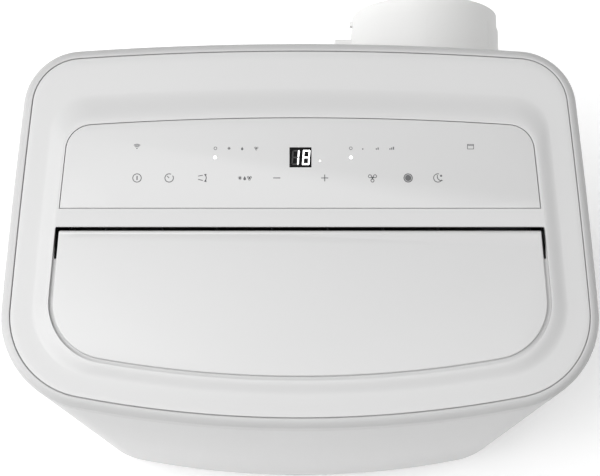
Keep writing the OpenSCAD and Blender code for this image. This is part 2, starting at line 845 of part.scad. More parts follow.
module cord_gland() {
  color("black") difference() {
    union() {
      rod_y(gland_at[0], gland_at[1], 8, [155, 169]);
      rod_y(gland_at[0], gland_at[1], 11, [163.8, 168]);
      translate([gland_at[0], 168, gland_at[1]]) rotate([-90, 0, 0]) cylinder(r1 = 8, r2 = 6, h = 15);
    }
    rod_y(gland_at[0], gland_at[1], 4.2, [150, 190]);
  }
}

module cord_cleats() {
  color("white") for (i = [0, 1]) {
    z = cleat_zs[i];
    union() {
      rod_y(cleat_x, z, 4, [158, y_rear + 1]);
      rod_y(cleat_x, z, 9, [y_rear + 0.1, y_rear + 24]);
      box([cleat_x - 9, cleat_x + 9], [y_rear + 19, y_rear + 24], i ? [z, z + 24] : [z - 24, z]);
    }
  }
}

module casing_screws() {
  surface = y_rear - screw_x * screw_x / (2 * rear_arc_r);
  color("silver") for (z = screw_zs) for (s = [-1, 1]) difference() {
    union() {
      rod_y(s * screw_x, z, 4, [surface + 0.35, surface + 2.6]);
      rod_y(s * screw_x, z, 2, [surface - 9, surface + 1]);
    }
    for (a = [0, 90])
      translate([s * screw_x, surface + 2.6, z]) rotate([0, a, 0]) cube([5, 2, 1], center = true);
  }
}

place() top_frame();
place() top_panel();
place() control_panel();
place() display_module();
place() control_board();
place() outlet_frame();
place() flap();
place() flap_drive_shaft();
place() flap_motor();
for (i = [0:vanes - 1])
  place() vane(i);
place() vane_link();
place() front_casing();
place() rear_casing();
place() base_pan();
place() handle_insert(-1);  // handle_left
place() handle_insert(1);  // handle_right
place() grille(upper_win, 12, 9.3);  // upper_grille
place() filter(upper_win);  // upper_filter
place() grille(lower_win, 23, 9.4);  // lower_grille
place() filter(lower_win);  // lower_filter
place() exhaust_collar();
place() exhaust_adapter();
place() exhaust_plenum();
place() upper_volute();
place() blower(upper_fan, upper_fan_y + [6, -6], upper_wheel_r);  // upper_blower
place() fan_motor(upper_fan, [-132, upper_fan_y[0] - 0.2], 36);  // upper_fan_motor
place() lower_volute();
place() blower(lower_fan, lower_fan_y + [6, -6], lower_wheel_r);  // lower_blower
place() fan_motor(lower_fan, [-45, lower_fan_y[0] - 0.2], 40);  // lower_fan_motor
place() discharge_duct();
place() evaporator();
place() condenser();
place() drain_tray();
place() partition();
place() compressor();
place() compressor_grommets();
place() refrigerant_pipes();
place() control_box();
place() run_capacitor();
place() splash_motor();
place() splash_wheel();
for (i = [0:3]) {
  place() caster_fork(caster_pos[i]);
  place() caster_wheels(caster_pos[i]);
}
place() drain_plug(upper_spout);  // upper_drain_plug
place() drain_plug(lower_spout);  // lower_drain_plug
place() cord_gland();
place() cord_cleats();
place() casing_screws();
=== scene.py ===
"""Looks of a portable air conditioner: a white moulded cabinet with a raised top, a flush touch panel,
a hinged outlet flap, rear intake grilles, an exhaust adapter and twin-wheel casters. Metres, +Z up."""
from math import atan2, cos, hypot, pi, radians, sin, sqrt, tan

import bmesh
import bpy
from mathutils import Matrix, Vector


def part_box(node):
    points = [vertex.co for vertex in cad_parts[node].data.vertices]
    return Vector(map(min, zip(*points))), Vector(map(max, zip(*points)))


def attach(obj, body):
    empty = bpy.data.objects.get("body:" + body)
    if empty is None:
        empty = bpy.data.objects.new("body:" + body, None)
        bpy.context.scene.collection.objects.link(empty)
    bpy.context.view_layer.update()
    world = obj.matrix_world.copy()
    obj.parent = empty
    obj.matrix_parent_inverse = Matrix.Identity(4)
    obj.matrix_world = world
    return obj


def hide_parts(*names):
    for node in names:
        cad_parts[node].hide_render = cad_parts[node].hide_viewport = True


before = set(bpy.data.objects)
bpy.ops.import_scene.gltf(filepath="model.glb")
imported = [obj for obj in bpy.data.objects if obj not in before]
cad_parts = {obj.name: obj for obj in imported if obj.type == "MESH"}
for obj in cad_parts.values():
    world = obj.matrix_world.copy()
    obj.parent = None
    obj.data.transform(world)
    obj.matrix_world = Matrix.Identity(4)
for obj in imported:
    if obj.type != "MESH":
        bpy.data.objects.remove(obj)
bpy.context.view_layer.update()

MM = 0.001

# ---------------------------------------------------------------- sizes, from the frame

frame_lo, frame_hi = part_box("top_frame")
panel_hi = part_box("control_panel")[1]
front_lo, front_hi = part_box("front_casing")
adapter_lo, adapter_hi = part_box("exhaust_adapter")
shaft_lo, shaft_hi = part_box("flap_drive_shaft")

RIM_Z = frame_hi.z
TOP_Z = panel_hi.z
PLAN_Y = (frame_lo.y + frame_hi.y) / 2 - 1.9 * MM
REAR_Y, FRONT_Y = frame_hi.y - PLAN_Y, frame_lo.y - PLAN_Y
SHELL_Z0, SHELL_Z1 = front_lo.z, front_hi.z
SPLIT_Y = front_hi.y - PLAN_Y
DUCT_R = 75 * MM
DUCT_X = adapter_hi.x - DUCT_R - 5 * MM
DUCT_Z = (adapter_lo.z + adapter_hi.z) / 2
DUCT_END = adapter_hi.y - PLAN_Y
HINGE_Y = (shaft_lo.y + shaft_hi.y) / 2 - PLAN_Y
HINGE_Z = (shaft_lo.z + shaft_hi.z) / 2

WALL = 3 * MM
RIM_R = 8 * MM
SEAM = 8.7 * MM
FLAP_GAP = 3.3 * MM
FLAP_T = 5 * MM
FLAP_REAR = 1.8 * MM
BRIDGE_REAR, BRIDGE_FRONT = 20.4 * MM, 4.8 * MM
LEDGE_Z = TOP_Z - 4.2 * MM
FILM_Z = TOP_Z - 0.08 * MM
WELL_Z = TOP_Z - 10 * MM
OPENING = (67.3 * MM, 40.25 * MM, 39.3 * MM)
OPENING_R = (24.5 * MM, 52 * MM)

# ---------------------------------------------------------------- the shell's outline in plan

SIDE_LEAN = 0.074
MID_HALF_W = frame_hi.x - 4.68 * MM
REAR_R, FRONT_R, SIDE_R = 2.7, 1.0, 6.4
CORNER_R = (50.6 * MM, 78.6 * MM)
REAR_C = Vector((0, REAR_Y - REAR_R))
FRONT_C = Vector((0, FRONT_Y + FRONT_R))
SIDE_C = Vector((MID_HALF_W, 0)) - Vector((1, SIDE_LEAN)).normalized() * SIDE_R


def heading(centre, point):
    return atan2(point.y - centre.y, point.x - centre.x)


def around(centre, radius, angle):
    return Vector((centre.x + radius * cos(angle), centre.y + radius * sin(angle)))


def arc(centre, radius, start, end, steps):
    return [around(centre, radius, start + (end - start) * i / steps) for i in range(steps)]


def crossing(c1, r1, c2, r2, side):
    """Where two circles cross, left (1) or right (-1) of the line between their centres."""
    gap = (c2 - c1).length
    along = (c2 - c1) / gap
    x = (r1 * r1 - r2 * r2 + gap * gap) / (2 * gap)
    return c1 + along * x + Vector((-along.y, along.x)) * side * sqrt(r1 * r1 - x * x)


def outline_arcs(inset, corner):
    """Centre, radius and end angles of the right half's five arcs. inset is for rear, side and front."""
    rear, side, front = REAR_R - inset[0], SIDE_R - inset[1], FRONT_R - inset[2]
    c_rear = crossing(REAR_C, rear - corner[0], SIDE_C, side - corner[0], -1)
    c_front = crossing(FRONT_C, front - corner[1], SIDE_C, side - corner[1], 1)
    a_rear, a_side = heading(REAR_C, c_rear), heading(SIDE_C, c_rear)
    b_side, b_front = heading(SIDE_C, c_front), heading(FRONT_C, c_front)
    return [(REAR_C, rear, pi / 2, a_rear), (c_rear, corner[0], a_rear, a_side),
            (SIDE_C, side, a_side, b_side), (c_front, corner[1], b_side, b_front),
            (FRONT_C, front, b_front, -pi / 2)]


ARC_STEPS = (20, 22, 18, 28, 24)


def mirrored(half):
    """Whole loop from its right half, whose first and last points are on the middle line."""
    return half + [Vector((-p.x, p.y)) for p in half[-2:0:-1]]


def outline(inset, corner):
    half = [p for a, n in zip(outline_arcs(inset, corner), ARC_STEPS) for p in arc(*a, n)]
    return mirrored(half + [Vector((0, FRONT_Y + inset[2]))])


def shell(inset):
    return outline((inset,) * 3, (CORNER_R[0] - inset, CORNER_R[1] - inset))


def opening(inset, trim=(0, 0), round_by=0):
    """Edge of the flat middle of the top, smaller by inset; trim adds to the rear and side only."""
    return outline((OPENING[0] + inset + trim[0], OPENING[1] + inset + trim[1], OPENING[2] + inset),
                   (OPENING_R[0] - inset - round_by, OPENING_R[1] - inset))


def border_outline(t):
    """Between the seam (0) and the flat middle (1)."""
    inset = [SEAM + (o - SEAM) * t for o in OPENING]
    corner = [c - SEAM + (o - c + SEAM) * t for c, o in zip(CORNER_R, OPENING_R)]
    return outline(inset, corner)


def cut_behind(loop, y_cut, corner=0.0, steps=6):
    """The part of a loop in front of y_cut, closed by a straight rear edge with rounded corners."""
    half = loop[:len(loop) // 2 + 1]
    front = [p for p in half if p.y < y_cut - corner]
    first = half.index(front[0])
    a, b = half[first - 1], half[first]
    t = (y_cut - corner - a.y) / (b.y - a.y)
    turn = a.lerp(b, t)
    lean = (b.x - a.x) / (a.y - b.y)
    bend = [Vector((turn.x - corner * (1 - cos(q)) - lean * corner * sin(q), turn.y + corner * sin(q)))
            for q in (pi / 2 * (1 - i / steps) for i in range(steps if corner else 0))]
    edge = (bend[0] if bend else turn).x
    back = [Vector((edge * i / 12, y_cut)) for i in range(12)]
    return mirrored(back + bend + [turn] + front)


# ---------------------------------------------------------------- meshes

def piece(name, verts, faces, finish, sharp=32.0):
    """A mesh object with smooth shading that breaks at edges over the sharp angle, in degrees."""
    mesh = bpy.data.meshes.new(name)
    mesh.from_pydata([tuple(v) for v in verts], [], faces)
    obj = bpy.data.objects.new(name, mesh)
    bpy.context.scene.collection.objects.link(obj)
    mesh.materials.append(finish)
    tidy(obj, sharp)
    return obj


def tidy(obj, sharp=32.0):
    """Outward faces, no doubled points, smooth shading up to the sharp angle."""
    work = bmesh.new()
    work.from_mesh(obj.data)
    bmesh.ops.remove_doubles(work, verts=work.verts, dist=0.002 * MM)
    bmesh.ops.recalc_face_normals(work, faces=work.faces)
    work.to_mesh(obj.data)
    work.free()
    obj.data.polygons.foreach_set("use_smooth", [True] * len(obj.data.polygons))
    obj.data.set_sharp_from_angle(angle=radians(sharp))
    obj.data.update()


def shape_loft(loops, closed=False):
    """Verts and faces through equal loops of 3-D points; capped at both ends, or closed into a ring."""
    n, m = len(loops[0]), len(loops)
    verts = [p for loop in loops for p in loop]
    faces = [(k * n + i, k * n + (i + 1) % n, (k + 1) % m * n + (i + 1) % n, (k + 1) % m * n + i)
             for k in range(m if closed else m - 1) for i in range(n)]
    if not closed:
        faces += [tuple(range(n)), tuple(reversed(range((m - 1) * n, m * n)))]
    return verts, faces


def at_height(loop, z):
    return [Vector((p.x, p.y + PLAN_Y, z)) for p in loop]


def ring_piece(name, levels, finish, sharp=32.0):
    """A closed ring round the cabinet; levels is [(loop, z), ...] round its section."""
    return piece(name, *shape_loft([at_height(loop, z) for loop, z in levels], closed=True), finish, sharp)


def stack_piece(name, levels, finish, sharp=32.0):
    return piece(name, *shape_loft([at_height(loop, z) for loop, z in levels]), finish, sharp)


def revolve(name, profile, centre, axis, finish, steps=96, sharp=32.0, closed=True):
    """Turns (radius, along) points round an axis. An open profile starts and ends on the axis."""
    spin = axis.to_track_quat("Z", "Y").to_matrix()
    verts, faces, n = [], [], len(profile)
    for k in range(steps):
        q = 2 * pi * k / steps
        verts += [centre + spin @ Vector((r * cos(q), r * sin(q), h)) for r, h in profile]
    for k in range(steps):
        a, b = k * n, (k + 1) % steps * n
        faces += [(a + i, a + (i + 1) % n, b + (i + 1) % n, b + i) for i in range(n if closed else n - 1)]
    return piece(name, verts, faces, finish, sharp)


def block(name, lo, hi, finish, turn=None):
    """A box between two corners, in plan coordinates, turned by an optional matrix."""
    x, y, z = zip(lo, hi)
    verts = [Vector((x[i], y[j] + PLAN_Y, z[k])) for k in (0, 1) for j in (0, 1) for i in (0, 1)]
    if turn:
        verts = [turn @ v for v in verts]
    faces = [(0, 1, 3, 2), (4, 5, 7, 6), (0, 1, 5, 4), (2, 3, 7, 6), (0, 2, 6, 4), (1, 3, 7, 5)]
    return piece(name, verts, faces, finish)


def apply_modifiers(obj):
    graph = bpy.context.evaluated_depsgraph_get()
    solid = bpy.data.meshes.new_from_object(obj.evaluated_get(graph))
    obj.modifiers.clear()
    obj.data = solid


def combine(obj, tools, how):
    """Changes obj by one boolean tool after the other, and removes the tools."""
    for tool in tools:
        change = obj.modifiers.new("change", "BOOLEAN")
        change.operation, change.object, change.solver = how, tool, "EXACT"
        apply_modifiers(obj)
        bpy.data.objects.remove(tool)
    return obj


def cut(obj, *tools):
    return combine(obj, tools, "DIFFERENCE")


def join(obj, *tools):
    return combine(obj, tools, "UNION")


def ease_edges(obj, width, angle=40.0, segments=2, sharp=32.0):
    """The small radius that a moulded edge has."""
    bevel = obj.modifiers.new("ease", "BEVEL")
    bevel.width, bevel.segments, bevel.limit_method = width, segments, "ANGLE"
    bevel.angle_limit, bevel.use_clamp_overlap, bevel.miter_outer = radians(angle), True, "MITER_ARC"
    apply_modifiers(obj)
    tidy(obj, sharp)
    return obj


def settle(obj, body, slot, *nodes):
    """The piece rides on a body and may stand for CAD nodes, which are hidden; slot is not used."""
    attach(obj, body)
    if nodes:
        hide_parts(*nodes)
    return obj


# ---------------------------------------------------------------- finishes

def srgb(colour):
    """An sRGB hex colour as linear RGBA."""
    parts = [int(colour[i:i + 2], 16) / 255 for i in (1, 3, 5)]
    return [p / 12.92 if p <= 0.04045 else ((p + 0.055) / 1.055) ** 2.4 for p in parts] + [1.0]


def add(material, kind, settings=None, inputs=None, links=None):
    """One node, with its settings, its input values and what feeds its inputs."""
    node = material.node_tree.nodes.new(kind)
    for key, value in (settings or {}).items():
        setattr(node, key, value)
    for key, value in (inputs or {}).items():
        node.inputs[key].default_value = value
    for key, source in (links or {}).items():
        material.node_tree.links.new(source, node.inputs[key])
    return node


def per_metre(size_mm):
    """Pattern scale that gives features of this size."""
    return 1 / (size_mm * MM)


def surface(name, ior=1.5, metallic=0.0):
    """A material with only a Principled shader, returned with that shader."""
    material = bpy.data.materials.new(name)
    material.use_nodes = True
    shader = material.node_tree.nodes["Principled BSDF"]
    shader.inputs["Metallic"].default_value = metallic
    if not metallic:
        shader.inputs["IOR"].default_value = ior
    return material, shader


def feed(material, shader, **links):
    for key, source in links.items():
        material.node_tree.links.new(source, shader.inputs[key.replace("_", " ")])


def moulded(name, light, dark, roughness, grain_mm, relief_mm, ior=1.5, cloud_mm=140):
    """Injection-moulded plastic: a fine etched grain, and a very slow drift of tone and gloss."""
    material, shader = surface(name, ior)
    place = add(material, "ShaderNodeTexCoord").outputs["Object"]
    cloud = add(material, "ShaderNodeTexNoise", inputs={"Scale": per_metre(cloud_mm), "Detail": 3.0},
                links={"Vector": place})
    tone = add(material, "ShaderNodeMix", {"data_type": "RGBA"}, {6: srgb(dark), 7: srgb(light)},
               {0: cloud.outputs["Fac"]})
    grain = add(material, "ShaderNodeTexNoise",
                inputs={"Scale": per_metre(grain_mm), "Detail": 2.0, "Roughness": 0.55},
                links={"Vector": place})
    gloss = add(material, "ShaderNodeMapRange", inputs={"From Min": 0.3, "From Max": 0.7,
                "To Min": roughness - 0.03, "To Max": roughness + 0.04},
                links={"Value": grain.outputs["Fac"]})
    bump = add(material, "ShaderNodeBump", inputs={"Strength": 0.5, "Distance": relief_mm * MM},
               links={"Height": grain.outputs["Fac"]})
    feed(material, shader, Base_Color=tone.outputs[2], Roughness=gloss.outputs[0], Normal=bump.outputs[0])
    return material


# ABS, injection moulded with a fine etched texture: satin, even and almost featureless.
# The etch is about 0.1 mm and is drawn at 1.6 mm so that it can just be sensed.
white_abs = moulded("white_moulded_abs", "#cbcbcb", "#c9c9c9", 0.42, 1.6, 0.006)
# The upper frame is the same ABS with painted shade: its colour is darker to stand for the shade on its
# outward-facing rounded rim.
rim_abs_painted_shade = moulded("rim_moulded_abs_painted_shade", "#bfbfbf", "#bdbdbd", 0.44, 1.6, 0.006)
# The flap is moulded in the same ABS from another tool, a shade smoother.
flap_abs = moulded("flap_moulded_abs", "#cccccc", "#cacaca", 0.38, 1.8, 0.005)
# Hard-coated polycarbonate film over the touch panel: smoother than the shell.
coated_film = moulded("hard_coated_film", "#cbcbcb", "#c9c9c9", 0.46, 2.4, 0.003, ior=1.5)
# Grilles, adapter and hooks: moulded in polypropylene, duller and a shade lighter than the cabinet.
white_pp = moulded("white_moulded_polypropylene", "#e3e3e2", "#e1e1e0", 0.48, 1.4, 0.008)
# Uncoloured ABS of the hidden ducts and the drip tray.
natural_abs = moulded("natural_abs", "#cfccc2", "#c6c2b6", 0.50, 1.6, 0.010)
# Glass-filled nylon of the vanes, the throat and the base pan: dark, dull, with a faint mottle.
dark_nylon = moulded("dark_glass_filled_nylon", "#3a3a3c", "#303032", 0.55, 1.2, 0.015, cloud_mm=30)
black_nylon = moulded("black_moulded_nylon", "#1d1d1f", "#161617", 0.46, 1.2, 0.012, cloud_mm=30)
grey_abs = moulded("grey_moulded_abs", "#c6c7c8", "#bfc0c1", 0.45, 1.5, 0.008)
# Polyurethane caster tyres: black, slightly rubbery.
tyre_pu = moulded("caster_polyurethane", "#232324", "#19191a", 0.60, 1.0, 0.020, cloud_mm=12)
rubber = moulded("moulded_rubber", "#161616", "#101010", 0.75, 1.0, 0.020, cloud_mm=12)


def smoked_window():
    """Smoked acrylic over the digits: black, with an anti-glare coat."""
    material, shader = surface("smoked_acrylic", 1.49)
    place = add(material, "ShaderNodeTexCoord").outputs["Object"]
    haze = add(material, "ShaderNodeTexNoise", inputs={"Scale": per_metre(6), "Detail": 2.0},
               links={"Vector": place})
    gloss = add(material, "ShaderNodeMapRange", inputs={"To Min": 0.2, "To Max": 0.26},
                links={"Value": haze.outputs["Fac"]})
    shader.inputs["Base Color"].default_value = srgb("#0b0b0c")
    shader.inputs["Specular IOR Level"].default_value = 0.15
    feed(material, shader, Roughness=gloss.outputs[0])
    return material


def lit(name, colour, power):
    """A light-emitting diode behind its window."""
    material, shader = surface(name)
    shader.inputs["Base Color"].default_value = srgb(colour)
    shader.inputs["Emission Color"].default_value = srgb(colour)
    shader.inputs["Emission Strength"].default_value = power
    shader.inputs["Roughness"].default_value = 0.3
    return material


def printed_ink():
    """Grey screen-printing ink, a little uneven in density."""
    material, shader = surface("screen_print_ink", 1.48)
    place = add(material, "ShaderNodeTexCoord").outputs["Object"]
    density = add(material, "ShaderNodeTexNoise", inputs={"Scale": per_metre(0.8), "Detail": 1.0},
                  links={"Vector": place})
    tone = add(material, "ShaderNodeMix", {"data_type": "RGBA"}, {6: srgb("#58585a"), 7: srgb("#626264")},
               {0: density.outputs["Fac"]})
    shader.inputs["Roughness"].default_value = 0.5
    feed(material, shader, Base_Color=tone.outputs[2])
    return material


def rolled_metal(name, light, dark, roughness, streak_mm, stretch):
    """Rolled or drawn metal: streaks along the direction that stretch shortens."""
    material, shader = surface(name, metallic=1.0)
    place = add(material, "ShaderNodeTexCoord").outputs["Object"]
    along = add(material, "ShaderNodeMapping", inputs={"Scale": stretch}, links={"Vector": place})
    streak = add(material, "ShaderNodeTexNoise", inputs={"Scale": per_metre(streak_mm), "Detail": 3.0},
                 links={"Vector": along.outputs[0]})
    tone = add(material, "ShaderNodeMix", {"data_type": "RGBA"}, {6: srgb(dark), 7: srgb(light)},
               {0: streak.outputs["Fac"]})
    gloss = add(material, "ShaderNodeMapRange", links={"Value": streak.outputs["Fac"]},
                inputs={"To Min": roughness - 0.06, "To Max": roughness + 0.08})
    feed(material, shader, Base_Color=tone.outputs[2], Roughness=gloss.outputs[0])
    return material


zinc_steel = rolled_metal("zinc_plated_steel", "#c9cbcd", "#aeb1b4", 0.34, 2.0, (1, 1, 0.1))
drawn_aluminium = rolled_metal("drawn_aluminium", "#d4d6d8", "#c2c5c8", 0.30, 1.5, (1, 1, 0.05))
copper = rolled_metal("drawn_copper_tube", "#d08a62", "#b06a45", 0.28, 6.0, (1, 1, 1))


def fin_pack_painted_gap_shade():
    """Stamped aluminium fins at 1.8 mm, seen end on as bright lines, with painted shade as the dark gaps
    between them.
    """
    material, shader = surface("stamped_aluminium_fins_painted_gap_shade", metallic=1.0)
    place = add(material, "ShaderNodeTexCoord").outputs["Object"]
    fins = add(material, "ShaderNodeTexWave", {"bands_direction": "X", "wave_profile": "SIN"},
               {"Scale": per_metre(1.8) / 20 * pi, "Distortion": 0.3}, {"Vector": place})
    # The dark colour is painted shade in the gaps between the fins.
    tone = add(material, "ShaderNodeMix", {"data_type": "RGBA"}, {6: srgb("#54575a"), 7: srgb("#d3d5d7")},
               {0: fins.outputs["Fac"]})
    bump = add(material, "ShaderNodeBump", inputs={"Strength": 0.6, "Distance": 0.6 * MM},
               links={"Height": fins.outputs["Fac"]})
    shader.inputs["Roughness"].default_value = 0.35
    feed(material, shader, Base_Color=tone.outputs[2], Normal=bump.outputs[0])
    return material


def enamelled_steel():
    """Deep-drawn steel can in black enamel, with a light orange peel."""
    material, shader = surface("black_enamelled_steel", 1.52)
    place = add(material, "ShaderNodeTexCoord").outputs["Object"]
    peel = add(material, "ShaderNodeTexNoise", inputs={"Scale": per_metre(2.5), "Detail": 1.0},
               links={"Vector": place})
    tone = add(material, "ShaderNodeMix", {"data_type": "RGBA"}, {6: srgb("#121213"), 7: srgb("#1c1c1e")},
               {0: peel.outputs["Fac"]})
    bump = add(material, "ShaderNodeBump", inputs={"Strength": 0.4, "Distance": 0.05 * MM},
               links={"Height": peel.outputs["Fac"]})
    shader.inputs["Roughness"].default_value = 0.28
    feed(material, shader, Base_Color=tone.outputs[2], Normal=bump.outputs[0])
    return material


def woven_mesh_painted_gap_shade():
    """Filter cloth: nylon threads 1.2 mm apart in both directions, with painted shade as the dark openings
    between them.
    """
    material, shader = surface("woven_nylon_mesh_painted_gap_shade", 1.53)
    place = add(material, "ShaderNodeTexCoord").outputs["Object"]
    scale = per_metre(1.2) / 20 * pi
    weft = add(material, "ShaderNodeTexWave", {"bands_direction": "X"}, {"Scale": scale}, {"Vector": place})
    warp = add(material, "ShaderNodeTexWave", {"bands_direction": "Z"}, {"Scale": scale}, {"Vector": place})
    weave = add(material, "ShaderNodeMath", {"operation": "MAXIMUM"},
                links={0: weft.outputs["Fac"], 1: warp.outputs["Fac"]})
    # The near-black colour is painted shade in the openings between the threads.
    tone = add(material, "ShaderNodeMix", {"data_type": "RGBA"}, {6: srgb("#121314"), 7: srgb("#4a4d50")},
               {0: weave.outputs[0]})
    bump = add(material, "ShaderNodeBump", inputs={"Strength": 0.7, "Distance": 0.3 * MM},
               links={"Height": weave.outputs[0]})
    shader.inputs["Roughness"].default_value = 0.6
    feed(material, shader, Base_Color=tone.outputs[2], Normal=bump.outputs[0])
    return material


def circuit_board():
    """Green solder mask over glass-epoxy laminate, with a faint trace pattern."""
    material, shader = surface("solder_mask_laminate", 1.5)
    place = add(material, "ShaderNodeTexCoord").outputs["Object"]
    traces = add(material, "ShaderNodeTexBrick", {"offset": 0.5},
                 {"Scale": per_metre(10), "Color1": srgb("#0f4a26"), "Color2": srgb("#125229"),
                  "Mortar": srgb("#1c6a38"), "Mortar Size": 0.03}, {"Vector": place})
    shader.inputs["Roughness"].default_value = 0.32
    feed(material, shader, Base_Color=traces.outputs["Color"])
    return material


smoked_acrylic = smoked_window()
digit_light = lit("white_diode_digits", "#ffffff", 1.6)
status_light = lit("white_diode_status", "#ffffff", 2.2)
unlit_digit = moulded("unlit_digit_lens", "#2b2b2c", "#262627", 0.4, 1.5, 0.002)
screen_ink = printed_ink()
fins = fin_pack_painted_gap_shade()
black_enamel = enamelled_steel()
filter_cloth = woven_mesh_painted_gap_shade()
solder_mask = circuit_board()

CAD_FINISHES = {
    "control_board": solder_mask, "outlet_frame": dark_nylon, "vane_link": grey_abs,
    "flap_drive_shaft": zinc_steel, "flap_motor": zinc_steel, "base_pan": black_nylon,
    "handle_left": grey_abs, "handle_right": grey_abs, "exhaust_collar": white_pp,
    "exhaust_plenum": natural_abs, "upper_volute": natural_abs, "lower_volute": natural_abs,
    "upper_blower": natural_abs, "lower_blower": natural_abs, "discharge_duct": natural_abs,
    "upper_fan_motor": zinc_steel, "lower_fan_motor": zinc_steel, "evaporator": fins, "condenser": fins,
    "drain_tray": natural_abs, "partition": natural_abs, "compressor": black_enamel,
    "compressor_grommets": rubber, "refrigerant_pipes": copper, "control_box": zinc_steel,
    "run_capacitor": drawn_aluminium, "splash_motor": zinc_steel, "splash_wheel": natural_abs,
    "upper_filter": filter_cloth, "lower_filter": filter_cloth, "cord_gland": black_nylon,
    "cord_cleats": white_pp, "casing_screws": zinc_steel, "display_module": smoked_acrylic,
    "upper_drain_plug": grey_abs, "lower_drain_plug": grey_abs, "exhaust_adapter": white_pp,
    **{f"vane_{i}": dark_nylon for i in range(1, 8)},
    **{f"caster_fork_{i}": black_nylon for i in range(1, 5)},
    **{f"caster_wheels_{i}": tyre_pu for i in range(1, 5)},
}
for node, finish in CAD_FINISHES.items():
    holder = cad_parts[node].data.materials
    holder.clear()
    holder.append(finish)


# ---------------------------------------------------------------- cabinet

def rim():
    """Upper frame: an upright wall, an 8 mm rounded rim and a small radius at the seam."""
    edge, seam_r = 0.5 * MM, 0.5 * MM
    foot = RIM_Z - 30.6 * MM
    levels = [(shell(edge), foot), (shell(edge * 0.3), foot + edge * 0.3), (shell(0), foot + edge)]
    for i in range(13):
        q = pi / 2 * i / 12
        levels.append((shell((RIM_R - seam_r) * (1 - cos(q))), RIM_Z - RIM_R + RIM_R * sin(q)))
    levels += [(shell(RIM_R - seam_r * (1 - sin(q))), RIM_Z - seam_r * (1 - cos(q)))
               for q in (radians(30), radians(60), radians(90))]
    levels += [(shell(RIM_R), RIM_Z - 3.2 * MM), (shell(13 * MM), RIM_Z - 3.2 * MM),
               (shell(13 * MM), RIM_Z - 6 * MM), (shell(5.5 * MM), RIM_Z - 11 * MM),
               (shell(5.5 * MM), frame_lo.z), (shell(3.1 * MM), frame_lo.z), (shell(3.1 * MM), foot)]
    # The rim's finish is the cabinet ABS darkened as painted shade.
    settle(ring_piece("rim_frame", levels, rim_abs_painted_shade), "cabinet", "shell_white", "top_frame")


SLOPE_START = 0.55


def rise(t):
    """How far the border has risen above the rim: flat first, then a soft slope up to the middle."""
    u = max((t - SLOPE_START) / (1 - SLOPE_START), 0)
    return (TOP_Z - RIM_Z) * u * u * (3 - 2 * u)


def panel_recess(inset):
    """Loop of the control panel's opening (inset 0) or of the panel (inset 0.6 mm)."""
    half = opening(inset, trim=(1.1 * MM, 1.4 * MM), round_by=1.5 * MM)
    half = half[:len(half) // 2 + 1]
    y_cut = BRIDGE_REAR + inset
    rear = [p for p in half if p.y > y_cut]
    a, b = rear[-1], half[len(rear)]
    corner = a.lerp(b, (y_cut - a.y) / (b.y - a.y))
    return mirrored(rear + [corner] + [Vector((corner.x * (1 - i / 12), y_cut)) for i in range(1, 13)])


def top_deck():
    """Raised top with the recess of the control panel, the bridge and the well of the flap."""
    edge = 0.45 * MM
    seam = [(outline([SEAM + edge * (1 - cos(q))] * 3, [c - SEAM - edge * (1 - cos(q)) for c in CORNER_R]),
             RIM_Z - edge * (1 - sin(q))) for q in (0, radians(30), radians(60), radians(90))]
    border = [SLOPE_START * i / 4 for i in range(1, 4)]
    border += [SLOPE_START + (1 - SLOPE_START) * i / 26 for i in range(27)]
    levels = [(opening(-4 * MM), WELL_Z), (border_outline(0.5), RIM_Z - 3 * MM),
              (border_outline(0), RIM_Z - 3 * MM)]
    levels += seam + [(border_outline(t), RIM_Z + rise(t)) for t in border]
    deck = stack_piece("top_deck", levels, white_abs)
    above = TOP_Z + 10 * MM
    holes = {"well": (cut_behind(opening(0), BRIDGE_FRONT, 1.5 * MM), LEDGE_Z),
             "throat": (cut_behind(opening(7 * MM), BRIDGE_FRONT), WELL_Z - MM),
             "recess": (panel_recess(0), WELL_Z - MM)}
    tools = [stack_piece(name, [(loop, z), (loop, above)], white_abs) for name, (loop, z) in holes.items()]
    swing = block("swing", (-208 * MM, -22 * MM, WELL_Z - MM), (208 * MM, 17 * MM, TOP_Z - 3 * MM), white_abs)
    cut(deck, *tools, swing)
    ease_edges(deck, 0.45 * MM, angle=50)
    settle(deck, "cabinet", "shell_white", "top_panel")


def touch_panel():
    """Flush control panel with small radii on its edges."""
    gap, edge = 0.6 * MM, 0.35 * MM
    levels = [(panel_recess(gap), TOP_Z - 6.9 * MM)]
    levels += [(panel_recess(gap + edge * (1 - cos(q))), FILM_Z - edge * (1 - sin(q)))
               for q in (0, radians(30), radians(60), radians(90))]
    settle(stack_piece("touch_panel", levels, coated_film), "cabinet", "panel_white", "control_panel")


def split_wall(front):
    """Half of the cabinet's wall, in front of or behind the split line, as a closed curved plate."""
    outer, inner = shell(0), shell(WALL)
    edge = SPLIT_Y if front else SPLIT_Y + 0.3 * MM

    def open_path(loop):
        half = loop[:len(loop) // 2 + 1]
        keep = [p for p in half if (p.y < edge) == front]
        a, b = (half[half.index(keep[0]) - 1], keep[0]) if front else (keep[-1], half[len(keep)])
        end = a.lerp(b, (edge - a.y) / (b.y - a.y))
        right = [end] + keep if front else keep + [end]
        left = [Vector((-p.x, p.y)) for p in reversed(right)]
        return right + left[1:] if front else left + right[1:]

    section = open_path(outer) + open_path(inner)[::-1]
    name = "front_shell" if front else "rear_shell"
    return stack_piece(name, [(section, SHELL_Z0), (section, SHELL_Z1)], white_abs)


def handle_frame(side):
    """Matrix from a grip's own frame (x outwards, y along the wall) to the cabinet, side 1 or -1."""
    middle = Vector((MID_HALF_W - SIDE_LEAN * (-5 * MM), -5 * MM + PLAN_Y, TOP_Z - 144 * MM))
    lean = Matrix.Rotation(atan2(SIDE_LEAN, 1), 4, "Z")
    flip = Matrix.Scale(side, 4, Vector((1, 0, 0)))
    return flip @ Matrix.Translation(middle) @ lean


